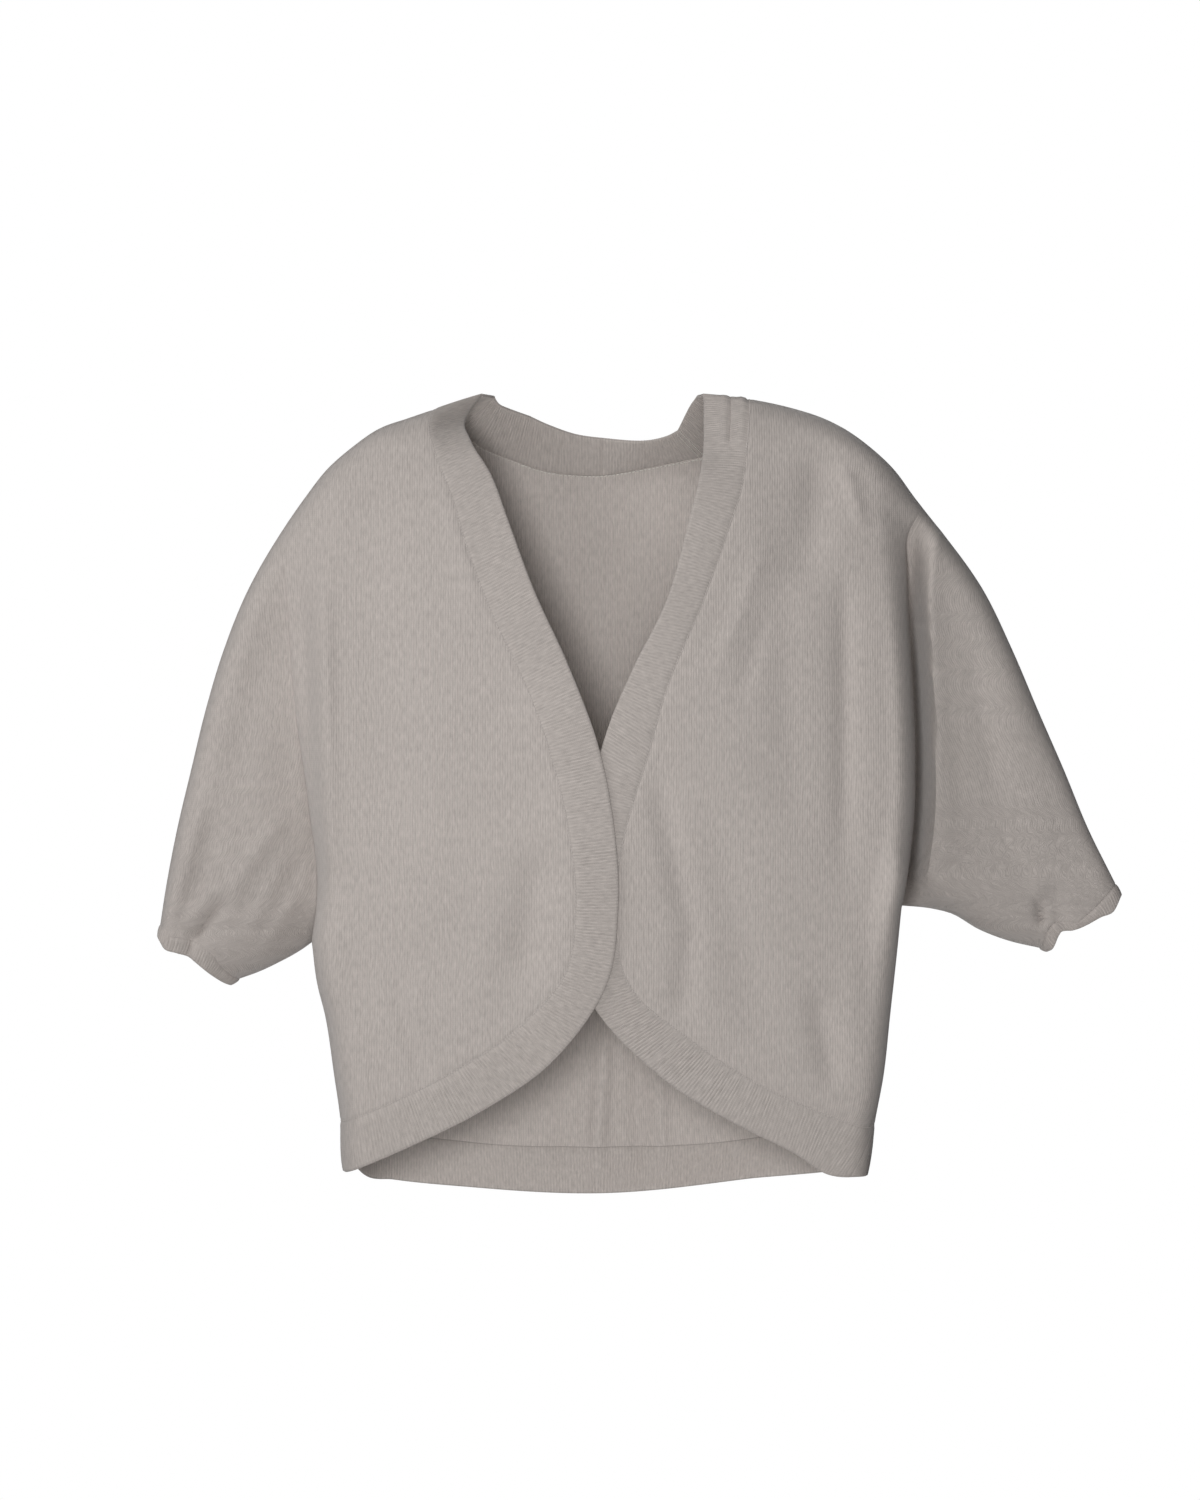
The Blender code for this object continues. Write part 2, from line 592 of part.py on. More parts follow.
def band_rows(side, stations, seam_points, layer):
    """Points across a front band at each station, from its seam to its free edge."""
    band = Curve(BAND[side], "seam_x seam_z edge_x edge_z edge_y own")
    rows = band.at(stations)
    across = np.linspace(0, 1, BAND_STEPS + 1)[1:, None]
    x = rows[:, 0] + (rows[:, 2] - rows[:, 0]) * across
    z = rows[:, 1] + (rows[:, 3] - rows[:, 1]) * across
    formed = face(x, z, side, layer)[..., 1]
    own = np.clip(rows[:, 5], 0, 1)
    ruled = seam_points[:, 1] + (rows[:, 4] - seam_points[:, 1]) * across
    y = own * ruled + (1 - own) * formed
    return np.concatenate([seam_points[None], np.stack([x, y, z], axis=-1)])


def front_band(side, front, back):
    """The ribbed band of one front, from the cross seam behind the neck to the side seam."""
    tail = np.array(back.points)[back.marks["tail", side]][:-1]
    seam = np.array(front.points)[front.marks["band"]]
    stations = front.marks["stations"]
    behind = band_rows(side, tail_shares(side)[:-1], tail, BACK)
    ahead = band_rows(side, stations, seam, FRONT)
    ahead[1:, -1, 1] = 0
    if side == "left":
        ahead[1:] = swing(ahead[1:], FRONT)
    points = np.concatenate([behind, ahead], axis=1)
    sheet = Sheet()
    index = sheet.add(points)
    sheet.fill(index, side == "left")
    sheet.marks["cross"], sheet.marks["side"] = index[:, 0], index[:, -1]
    return sheet


def neck_band(back, bands):
    """The ribbed band of the back neck."""
    seam = np.array(back.points)[back.marks["neck"]]
    rows = Curve(NECK, "seam_x seam_z edge_x edge_z edge_y").at(np.linspace(0, 1, NECK_COLUMNS + 1))
    across = np.linspace(0, 1, BAND_STEPS + 1)[:, None, None]
    edge = np.stack([rows[:, 2], rows[:, 4], rows[:, 3]], axis=1)
    points = seam * (1 - across) + edge * across
    points[:, 0] = np.array(bands["right"].points)[bands["right"].marks["cross"]]
    points[:, -1] = np.array(bands["left"].points)[bands["left"].marks["cross"]]
    sheet = Sheet()
    sheet.fill(sheet.add(points), True)
    return sheet


def hem_band(back, bands):
    """The ribbed band of the back hem, from side seam to side seam."""
    seam = np.array(back.points)[back.marks["hem"]]
    across = np.linspace(0, 1, BAND_STEPS + 1)[1:, None]
    curve = Curve(HEM, "seam_x seam_z edge_x edge_z")
    start, end = HEM["seam_x"][0], HEM["seam_x"][-1]
    rows = curve.at(curve.where(0, start + (end - start) * back_shares()))
    x = rows[:, 0] + (rows[:, 2] - rows[:, 0]) * across
    z = rows[:, 1] + (rows[:, 3] - rows[:, 1]) * across
    lower = swing(both_sides(x, z, BACK), BACK)
    points = np.concatenate([seam[None], lower])
    points[:, 0] = np.array(bands["right"].points)[bands["right"].marks["side"]]
    points[:, -1] = np.array(bands["left"].points)[bands["left"].marks["side"]]
    sheet = Sheet()
    sheet.fill(sheet.add(points), False)
    return sheet


def cuff(side, front, back):
    """A ribbed cuff, a closed ring below the sleeve's two halves."""
    ahead = np.array(front.points)[front.marks["cuff", side]]
    behind = np.array(back.points)[back.marks["cuff", side]]
    ring = np.concatenate([ahead, behind[-2:0:-1]])
    inner, outer = ahead[0], ahead[-1]
    end = CUFF_END[side]
    low_inner = np.array([end["under"][0] * SIGN[side], inner[1], end["under"][1]])
    low_outer = np.array([end["over"][0] * SIGN[side], outer[1], end["over"][1]])
    share = np.clip((ring[:, 0] - inner[0]) / (outer[0] - inner[0]), 0, 1)
    move = (1 - share[:, None]) * (low_inner - inner) + share[:, None] * (low_outer - outer)
    wave = CUFF_WAVE[side]
    move[:, 2] += smooth(wave, "edge", share, "share") - smooth(wave, "seam", share, "share")
    across = np.linspace(0, 1, CUFF_STEPS + 1)[:, None, None]
    points = ring + move * across
    sheet = Sheet()
    index = sheet.add(points)
    sheet.fill(np.concatenate([index, index[:, :1]], axis=1), side == "left")
    return sheet


def seam_normals(sheets):
    """A normal for every point of every sheet, the same on both sides of a seam."""
    total = {}
    for sheet in sheets.values():
        points = np.array(sheet.points)
        for ring in sheet.faces:
            corners = points[ring]
            normal = sum(np.cross(corners[k], corners[(k + 1) % len(ring)]) for k in range(len(ring)))
            for number in ring:
                key = tuple(np.round(points[number], SAME_PLACE))
                total[key] = total.get(key, 0) + normal
    found = {}
    for name, sheet in sheets.items():
        normals = np.array([total[tuple(np.round(point, SAME_PLACE))] for point in sheet.points])
        found[name] = normals / np.linalg.norm(normals, axis=1)[:, None]
    return found


def edges_of(faces):
    """The edges that only one face has, each in that face's direction."""
    once = {}
    for ring in faces:
        for k, number in enumerate(ring):
            follower = ring[(k + 1) % len(ring)]
            if (follower, number) in once:
                del once[follower, number]
            else:
                once[number, follower] = ring
    return list(once)


def trimmed(points, faces, normals):
    """The points with every edge taken in by the trim, along the cloth."""
    inward = {}
    for start, end in edges_of(faces):
        along = points[end] - points[start]
        for number in (start, end):
            side = np.cross(normals[number], along)
            inward.setdefault(number, []).append(side / np.linalg.norm(side))
    moved = points.copy()
    for number, sides in inward.items():
        both = sum(sides)
        moved[number] = points[number] + TRIM * both * len(sides) / max(both @ both, MITRE)
    return moved


def wall(name, sheet, normals, thickness, collection, material):
    """A closed wall from an open sheet: its outer face, an inner face behind it and the edges between."""
    outer = trimmed(np.array(sheet.points), sheet.faces, normals)
    inner = outer - normals * thickness
    count = len(outer)
    faces = [list(map(int, ring)) for ring in sheet.faces]
    faces += [[int(number) + count for number in ring[::-1]] for ring in sheet.faces]
    for start, end in edges_of(sheet.faces):
        faces.append([int(end), int(start), int(start) + count, int(end) + count])
    mesh = bpy.data.meshes.new(name)
    mesh.from_pydata((np.concatenate([outer, inner]) * MM).tolist(), [], faces)
    mesh.shade_smooth()
    mesh.set_sharp_from_angle(angle=SHARP_EDGE)
    mesh.materials.append(material)
    made = bpy.data.objects.new(name, mesh)
    collection.objects.link(made)
    return made


def knit(name, colour):
    """A matt knitted cloth."""
    material = bpy.data.materials.new(name)
    material.use_nodes = True
    shader = material.node_tree.nodes["Principled BSDF"]
    shader.inputs["Base Color"].default_value = colour
    shader.inputs["Roughness"].default_value = 0.9
    shader.inputs["Metallic"].default_value = 0.0
    return material


def build():
    for old in list(bpy.data.objects):
        bpy.data.objects.remove(old)
    collection = bpy.data.collections.new("batwing_cardigan")
    bpy.context.scene.collection.children.link(collection)
    fronts = {side: front_panel(side) for side in SIGN}
    back = back_panel()
    bands = {side: front_band(side, fronts[side], back) for side in SIGN}
    sheets = {"back": back, "neck_band": neck_band(back, bands), "hem_band": hem_band(back, bands)}
    for side in SIGN:
        sheets[f"front_{side}"] = fronts[side]
        sheets[f"band_{side}"] = bands[side]
        sheets[f"cuff_{side}"] = cuff(side, fronts[side], back)
    normals = seam_normals(sheets)
    for name, sheet in sheets.items():
        plain = name in ("back", "front_right", "front_left")
        material = knit(f"{name}_knit", GREIGE if plain else RIB_GREIGE)
        wall(name, sheet, normals[name], JERSEY if plain else RIB, collection, material)


build()
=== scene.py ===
"""Looks of the batwing cardigan: thin knitted shells on the frame's own form, with ribs, creases and stitching.

Tables are in millimetres in the frame's axes: +X is the wearer's left, +Y the back and +Z up.
The first tables are the part's own, apart from some that are squarer, deeper or finer here. So are the functions
that shape the cloth.
"""

import bpy
import numpy as np
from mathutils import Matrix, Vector


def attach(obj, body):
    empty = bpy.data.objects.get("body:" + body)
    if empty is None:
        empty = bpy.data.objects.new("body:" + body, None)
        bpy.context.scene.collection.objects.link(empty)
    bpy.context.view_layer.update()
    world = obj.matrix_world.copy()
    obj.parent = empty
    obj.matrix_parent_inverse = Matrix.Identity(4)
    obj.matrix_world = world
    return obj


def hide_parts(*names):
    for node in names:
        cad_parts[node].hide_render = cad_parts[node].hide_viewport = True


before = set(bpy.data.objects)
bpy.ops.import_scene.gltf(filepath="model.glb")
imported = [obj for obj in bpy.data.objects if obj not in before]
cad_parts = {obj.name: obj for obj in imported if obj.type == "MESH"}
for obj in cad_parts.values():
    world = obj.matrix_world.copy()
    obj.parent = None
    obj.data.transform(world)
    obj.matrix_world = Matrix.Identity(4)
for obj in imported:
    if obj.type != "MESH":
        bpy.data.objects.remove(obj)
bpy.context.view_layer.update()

MM = 0.001
JERSEY = 1.5  # wall of the plain knit panels
RIB = 2.0  # wall of the ribbed bands and cuffs
LAP = 3.8  # how far the right front stands out over the left one
HALF_CHEST = 220.0

FRONT, BACK = -1, 1


def table(names, *rows):
    """A table with named columns, a row for each place."""
    return dict(zip(names.split(), np.array(rows, float).T))


# Outline seen from the front, one table a side. x runs outward from the middle of the body, z is height, and
# round is the radius at which the cloth turns from the front to the back there.
OVERARM = {
    "right": table(
        "x z round",
        (97, 1, 40), (133, -12, 42), (153, -19, 45), (175, -27, 48), (198, -43, 50), (215, -58, 50),
        (234, -82, 52), (250, -105, 52), (277, -152, 52), (296, -199, 52), (310, -246, 52),
        (321, -292, 50), (332, -339, 46), (341, -386, 40), (345, -411, 37),
    ),
    "left": table(
        "x z round",
        (76, 1, 40), (111, -4, 42), (147, -12, 45), (168, -19, 48), (184, -27, 50), (206, -43, 50),
        (222, -58, 52), (240, -82, 52), (258, -105, 52), (292, -152, 52), (315, -199, 52), (335, -246, 50),
        (355, -292, 46), (374.5, -339, 42), (395, -380, 37),
    ),
}
UNDERARM = {
    "right": table("x z", (227, -425), (235, -431), (258, -444), (271, -450), (285, -455)),
    "left": table("x z", (227, -398), (256, -401), (268, -404), (291, -417), (315, -426), (337, -431)),
}
SIDE = {
    "right": table(
        "x z", (227, -425), (223, -456), (217, -480), (210, -526), (205, -562), (203, -600), (199, -618)
    ),
    "left": table(
        "x z", (227, -398), (224, -433), (219, -480), (214, -526), (207, -564), (202, -600), (198, -618)
    ),
}
# The line from the shoulder down to the underarm where the body stops and the sleeve starts.
ARM_LINE = {
    "right": table(
        "x z", (250, -105), (245, -162), (238, -248), (229, -315), (223, -397), (227, -425)
    ),
    "left": table(
        "x z", (245, -88), (232, -112), (232.5, -142), (237.5, -226), (239.5, -276), (237.5, -340), (227, -398)
    ),
}
CUFF_END = {  # lower edge of the cuff, at the overarm and at the underarm
    "right": {"over": (347, -420), "under": (292, -460)},
    "left": {"over": (400, -389), "under": (343, -434)},
}
# How far the cuff's seam and its lower edge rise above straight lines, by the share from underarm to overarm.
CUFF_WAVE = {
    "right": table(
        "share seam edge",
        (0, 0, 0), (0.15, 2, 1), (0.31, 8, 2.5), (0.5, 9, 3.5), (0.69, 3, 0), (0.85, -1, -3.4), (1, 0, 0),
    ),
    "left": table(
        "share seam edge",
        (0, 0, 0), (0.04, 7, 2), (0.15, 12, 10), (0.31, 6, 4), (0.5, -3, 0), (0.69, -3.6, -2.5),
        (0.85, -2, -6), (1, 0, 0),
    ),
}
CUFF_WAVE_FADE = 60.0  # the seam's wave dies out this far up the sleeve
NECK_DOME = table("x z", (-60, 25), (0, 40), (45, 25))  # closes the form above the neck, and carries no cloth

# How far the cloth stands from the plane of the side seams, at the middle of the body and at its edge.
TORSO = {
    FRONT: table(
        "z middle edge",
        (0, 34, 40), (-40, 60, 52), (-100, 86, 66), (-180, 102, 76), (-260, 112, 84), (-340, 114, 88),
        (-430, 111, 88), (-520, 106, 88), (-610, 102, 88),
    ),
    BACK: table(
        "z middle edge",
        (0, 50, 42), (-40, 76, 56), (-60, 86, 62), (-100, 94, 68), (-180, 102, 78), (-260, 102, 82),
        (-340, 99, 84), (-430, 95, 84), (-520, 94, 84), (-630, 96, 86),
    ),
}
# The valley between body and sleeve: how deep it lies, how far the body turns into it, how square that turn
# is, how far the sleeve takes to rise to its own depth, and that depth.
VALLEY = {
    ("right", FRONT): table(
        "z line body square sleeve arm",
        (-105, 54, 46, 0, 45, 58), (-162, 56, 32, 0.5, 40, 60), (-248, 55, 30, 0.8, 38, 60),
        (-315, 51, 30, 1, 40, 58), (-397, 34, 44, 1.1, 45, 47), (-425, 28, 44, 1.1, 45, 41),
        (-620, 28, 38, 1.0, 45, 37),
    ),
    ("left", FRONT): table(
        "z line body square sleeve arm",
        (-88, 54, 40, 0, 45, 58), (-112, 44, 24, 0.9, 24, 58), (-160, 22, 26, 1.25, 14, 57),
        (-226, 8, 28, 1.4, 12, 57), (-300, 5, 28, 1.4, 12, 54), (-360, 5, 30, 1.4, 13, 47),
        (-398, 12, 30, 1.2, 30, 42), (-450, 18, 29, 1.05, 45, 37), (-620, 26, 28, 1.0, 45, 37),
    ),
    ("right", BACK): table(
        "z line body square sleeve arm",
        (-105, 54, 45, 0, 45, 58), (-162, 50, 45, 0, 45, 58), (-248, 45, 48, 0.2, 45, 57),
        (-315, 40, 52, 0.4, 45, 55), (-397, 32, 62, 0.8, 45, 46), (-425, 28, 72, 1, 45, 41),
        (-620, 28, 84, 1, 45, 37),
    ),
    ("left", BACK): table(
        "z line body square sleeve arm",
        (-88, 54, 40, 0, 45, 58), (-142, 49, 42, 0.1, 48, 58), (-226, 42, 48, 0.3, 50, 56),
        (-300, 38, 56, 0.5, 50, 52), (-360, 33, 64, 0.8, 50, 44), (-398, 28, 72, 1, 50, 40),
        (-620, 28, 80, 1, 45, 37),
    ),
}
UNDERARM_ROUND = 36.0
EDGE_POWER = 3.2  # how square the cloth turns over at the outline
EDGE_TIGHT = 0.5  # over this share of the table's radius
SIDE_DROP = 60.0  # the sides turn squarer lower down, and begin this far above the underarm
SIDE_SQUARE = 3.8  # how square they turn there
FLOOR = 1.5  # how wide the floor of a valley is
TILT = {("left", FRONT): 0.2}  # how much a sleeve falls away outward
CHEST_POWER = 2.2  # how late the chest and the back fall away towards the sides
FOLD_CLEAR = 12.0  # folds die out this near the line of the arm
ARM_FORWARD = 12.0  # the sleeves lean this far forward at the cuffs
ARM_FORWARD_OVER = 150.0
ARM_FORWARD_BELOW = 70.0  # and stop leaning this far below the underarm

# Large soft folds: a trough (minus) or ridge (plus) along a line, with its width and height.
FOLDS = {
    ("right", FRONT): table(
        "x z x_end z_end width height",
        (-226, -150, -213, -430, 9, 2.5), (-180, -70, -172, -330, 22, -3), (-205, -300, -190, -540, 16, -2.5),
        (-300, -330, -322, -400, 8, -4), (-120, -180, -140, -420, 26, 2),
    ),
    ("left", FRONT): table(
        "x z x_end z_end width height",
        (130, -60, 140, -330, 14, -2),
        (75, -330, 120, -500, 20, -2.5), (300, -230, 345, -370, 16, 2.5), (345, -385, 352, -415, 7, -4),
    ),
    ("right", BACK): table(
        "x z x_end z_end width height",
        (-210, -150, -196, -480, 14, 3), (-168, -90, -150, -420, 20, -3), (-90, -300, -100, -560, 24, 2.5),
        (-285, -300, -312, -410, 10, -3),
    ),
    ("left", BACK): table(
        "x z x_end z_end width height",
        (205, -130, 192, -450, 14, 3), (160, -80, 138, -390, 20, -3), (80, -330, 95, -570, 24, 2.5),
        (318, -280, 352, -390, 10, -3),
    ),
}

# The ribbed front bands, a row for each place along the strip: the seam to the front, then the free edge.
# own says how far the edge keeps to its own depth, edge_y, near the neck, where it stands away from the form.
BAND = {
    "right": table(
        "seam_x seam_z edge_x edge_z edge_y own",
        (-68, -47, -60, -13, 46, 1), (-98, -35, -82, -6, 28, 1), (-133, -12, -97, 1, 2, 1),
        (-136, -28, -109, -20, -22, 1), (-131, -49, -105, -38, -45, 0.7), (-117, -85, -88, -68, -68, 0),
        (-106, -122, -74, -106, 0, 0), (-86, -175, -55, -157, 0, 0), (-60, -230, -29, -214, 0, 0),
        (-42, -280, -8, -270, 0, 0), (-28, -340, 5, -335, 0, 0), (-23, -396, 8, -396, 0, 0),
        (-29, -441, 1, -449, 0, 0), (-69, -489, -42, -512, 0, 0), (-115, -520, -96, -550, 0, 0),
        (-160, -543, -150, -577, 0, 0), (-205, -562, -203, -600, 0, 0),
    ),
    "left": table(
        "seam_x seam_z edge_x edge_z edge_y own",
        (77, -42, 57, -24, 46, 1), (97, -24, 68, -4, 22, 1), (111, -4, 76, 1, 2, 1),
        (110, -22, 76, -22, -22, 1), (107, -49, 75, -48, -45, 0.7), (103, -78, 71, -74, -64, 0),
        (93, -109, 65, -98, 0, 0), (73, -165, 48, -160, 0, 0), (47, -227, 20, -218, 0, 0),
        (30, -286, 0, -267, 0, 0), (14, -340, -19, -338, 0, 0), (7, -400, -24, -400, 0, 0),
        (16, -452, -14, -460, 0, 0), (64, -496, 38, -520, 0, 0), (118, -531, 104, -562, 0, 0),
        (165, -552, 158, -586, 0, 0), (207, -564, 202, -600, 0, 0),
    ),
}
SHOULDER_ROW = 2  # the row of each band table that lies on the shoulder seam
CORNER_ROW = 13  # the row where the front's hem curve starts
# The back neck band between the two cross seams, the same way.
NECK = table(
    "seam_x seam_z edge_x edge_z edge_y",
    (-68, -47, -60, -13, 46), (-48, -53, -46, -19, 53), (-24, -56, -24, -26, 62), (0, -56, 0, -29, 66),
    (30, -51, 30, -31, 62), (56, -46, 48, -28, 54), (77, -42, 57, -24, 46),
)
# The back hem: the seam of its band and its lower edge, across the back.
HEM = table(
    "seam_x seam_z edge_x edge_z",
    (-205, -562, -203, -600), (-193, -573, -192, -615), (-170, -582, -170, -620), (-110, -592, -108, -627),
    (0, -596, 0, -632), (110, -590, 108, -621), (170, -578, 168, -612), (207, -564, 202, -600),
)
# Where the right front crosses the left one: it stands out from this x and below this z.
OVER_X = -78.0
OVER_X_RUN = 55.0
OVER_Z = -195.0
OVER_Z_RUN = 60.0
# The side seam of the left front swings forward round the side near the hem, by this much along the cloth.
SWING = table("z along", (-530, 0), (-550, 6), (-564, 22), (-582, 38), (-600, 52), (-618, 62))
SWING_ROUND = 80.0  # the radius of the side that it swings round
SWING_FADE = 130.0  # it dies out this far along the cloth
SWING_FROM_X = 60.0  # nothing nearer the middle than this moves

# How fine the shells are.
FLAT_COLUMNS = 44
CROWD_COLUMNS = 22
CROWD_FROM = 0.8  # from this share of a panel's width the columns crowd towards the side
SEAM_SHARES = np.array([0.005, 0.010])  # close columns at the band's seam
RIDGE_SHARE = 0.32  # the share of the back's width below the columns of one shoulder
TAIL_SHARE = 0.2  # the share of what is left below the columns of one tail
TAIL_COLUMNS = 14
NECK_COLUMNS = 40
MIDDLE_SHARES = np.array([0.004, 0.008, 0.013])  # close columns at the middle of the back
ARM_ROWS = 92  # from the shoulder to the underarm
SIDE_ROWS = 40  # from the underarm to the hem seam
CUFF_ROWS = 22  # from the underarm to the cuff
HEM_SHARES = np.array([0.018, 0.009])  # close rows at the hem's and the cuff's seam
SLEEVE_COLUMNS = 36
ARM_CLUSTER = 1.5  # rows crowd towards the shoulder
CUFF_AT = 0.72  # the share of the overarm that lies level with the underarm point
FOLD_RUN_OUT = 0.15  # how much of its length a fold runs past its ends
FOLD_FADE = 0.4  # and over how much of its length it fades there
FOLD_KEEN = 1.4  # how fast a sharp crest falls off
LEAN_POWER = 1.5  # how late a sleeve starts to lean forward
SHARP_EDGE = np.radians(50)  # edges sharper than this aren't shaded smooth
TINY = 1e-9
SAME_PLACE = 3  # decimals of a millimetre to which seam points agree
AT_ONCE = 8000  # places that are looked up at once
COARSE = 6  # every so many points of a line are looked up first
CLOSE = 4.0  # and all of them only for places nearer than this
DENSE = 4000  # points along a strip when it is measured
TURN_REACH = 0.02  # the share of a strip, to each side of a turn, that has closer points
TURN_STEPS = 150
# The places at which the map of the knit is worked out.
MAP_X = np.arange(0.0, 406.0, 1.5)
MAP_Z = np.arange(-640.0, 12.0, 6.0)

# The ribs, which run across each strip, and the seams.
RIB_PITCH = 2.4
RIB_STEPS = 4  # points for each rib
RIB_HEIGHT = 0.55
RIB_UNEVEN = 0.15
RIB_SWELL = (7.3, 3.1)  # the lengths over which ribs stand higher and lower
# Shares of a strip's width, closer where the left band has its pleats.
ACROSS = np.array([0, 0.035, 0.09, 0.18, 0.28, 0.36, 0.42, 0.48, 0.56, 0.64, 0.72, 0.8, 0.88, 0.95, 1.0])
END_FROM = 0.9  # the last share of a strip, whose end is set to the side seam
CROWN = 0.5  # how far the middle of a strip stands up
SEAM_WIDTH = 1.5
SEAM_GROOVE = 0.55  # how deep a seam lies
EDGE_ROUND = 0.45  # how far an edge bulges, as a share of the wall
NECK_JOIN_X = -2.0  # where the neck band is joined
END_COLUMN = 3  # a strip's end stitches lie this many points from its end

# The faint line down the middle of the back.
CENTRE_X = 0.9
CENTRE_WIDTH = 0.9
CENTRE_GROOVE = 0.35
CENTRE_END = -330.0
CENTRE_FADE = 80.0

# Pleats of the left band in front of the shoulder: the share across the band, the width as such a share, how far
# it stands up (plus) or dips (minus), and the lowest and highest z.
PLEAT_Y = 0.0
PLEAT_FADE = 12.0
PLEATS = (
    (0.53, 0.07, 2.0, -48, 3),
    (0.42, 0.045, -1.4, -48, 3),
    (0.15, 0.06, 1.8, -48, 3),
    (0.02, 0.04, -0.9, -48, 3),
)

# The knit.
WALE_PITCH = 1.9
COURSE_PITCH = 1.5
WALE_TILT = table("z out", (-620, 150), (-440, 103), (-380, 66), (-320, 31), (-260, 9), (-200, 0), (0, 0))
WANDER = 1.2  # how far a wale wanders, in millimetres
STREAK = (0.55, 0.14, 1.0)  # how fine the yarn's unevenness is, across the wales and along them, for each mm
MOTTLE = 0.75  # how much of the tone comes from the yarn's unevenness
BROAD = 0.1  # and from broad patches
BETWEEN = 0.18  # and from the shade between stitches
DARKEST, LIGHTEST = 0.55, 1.45  # times the yarn's colour
STITCH_BUMP = 0.55
JERSEY_DEPTH, RIB_DEPTH, THREAD_DEPTH = 0.35, 0.25, 0.1  # how deep the stitches of a cloth look, in millimetres
COCKLE = 0.5  # how deep the cloth's own unevenness looks
COCKLE_BUMP = 0.5
COCKLE_NOISE = (48.0, 3.0, 0.55)  # the scale for each metre, detail and roughness of a noise
FUZZ_NOISE = (1500.0, 3.0, 0.6)
YARN_NOISE = (1.0, 3.0, 0.6)
BROAD_SCALE = 14.0
WANDER_SCALE = 55.0
FUZZ = 0.5
SLANT = 0.6  # how far the legs of a V stitch slant, in courses
LOOP, PLAIN_HEIGHT = 0.45, 0.55  # how much of a stitch's height is its loop, and how much its wale
YARN_SHADER = {
    "Roughness": 0.92,
    "Metallic": 0.0,
    "Specular IOR Level": 0.25,
    "Sheen Weight": 0.25,
    "Sheen Roughness": 0.45,
}
GREIGE = (0.43, 0.39, 0.365)
RIB_GREIGE = (0.408, 0.370, 0.346)
THREAD = (0.46, 0.425, 0.40)
NECK_THREAD = (0.72, 0.67, 0.62)  # of the stitches inside the neck
THREAD_WALE, THREAD_COURSE = 0.9, 0.7
INNER_PAINTED_LIGHT = 1.28  # painted light: the inner faces get a lighter colour in place of the light that comes through the thin cloth

# The stitches: their lift from the seam, pitch, size (long, wide, high) and slant.
BEAD_SIDES = 6
BEAD_RINGS = ((-0.33, 0.75), (0.0, 1.0), (0.33, 0.75))  # the place along a stitch, and how thick it is there
STITCH_UNEVEN = 0.12
STITCH_TURN = 2.4  # how fast the unevenness goes on from stitch to stitch
OUTER_SEAM = {"lift": -0.35, "pitch": 2.4, "size": (1.9, 0.9, 0.6), "slant": 0.25}
INNER_FACE = 1.8  # the inner seams lie this far inside the outer face
NECK_CHAIN = {"lift": 1.5, "pitch": 3.2, "size": (2.8, 1.4, 1.2), "slant": 0.2, "inside": INNER_FACE}
KNOT = {"lift": 1.7, "pitch": 2.5, "size": (3.2, 1.9, 1.6), "slant": 0.8, "inside": INNER_FACE}
KNOT_END = 0.035  # the share of the neck's seam that a knot takes
CROSS_SEAM = {"lift": 1.3, "pitch": 2.4, "size": (2.0, 1.0, 0.9), "inside": INNER_FACE}
TAIL_SEAM = {"lift": 1.3, "pitch": 2.8, "size": (2.3, 0.8, 0.7), "slant": 0.2, "inside": INNER_FACE}
TAIL_END = 0.06  # the share of a front band that lies behind the shoulder

# The studio, in metres. Each lamp has its place, its width and its power, and all point at MIDDLE.
FILL = 0.15  # the light from all round
FILL_LEFT = 0.8  # how much of it comes rather from the left of the picture
MIDDLE = (0, 0, -0.3)
LAMPS = {
    "key": ((-0.12, -1.775, -0.31), 0.3, 12.2),
    "front": ((-0.1, -3.6, -0.4), 1.5, 26.0),
    "side": ((-1.92, -1.11, 1.56), 1.5, 31.0),
    "back": ((0.9, 3.2, 0.8), 1.5, 30.0),
}
FLOOR_SIZE = 12
FLOOR_Z = -2.0
FLOOR_COLOUR = (0.8, 0.8, 0.8)
CAMERA_PLACE = (-0.0047, -3.2, -0.277)
CAMERA_TURN = (np.pi / 2, 0, 0)  # level, towards the back
SENSOR_MM = 36
LENS_MM = 98.46
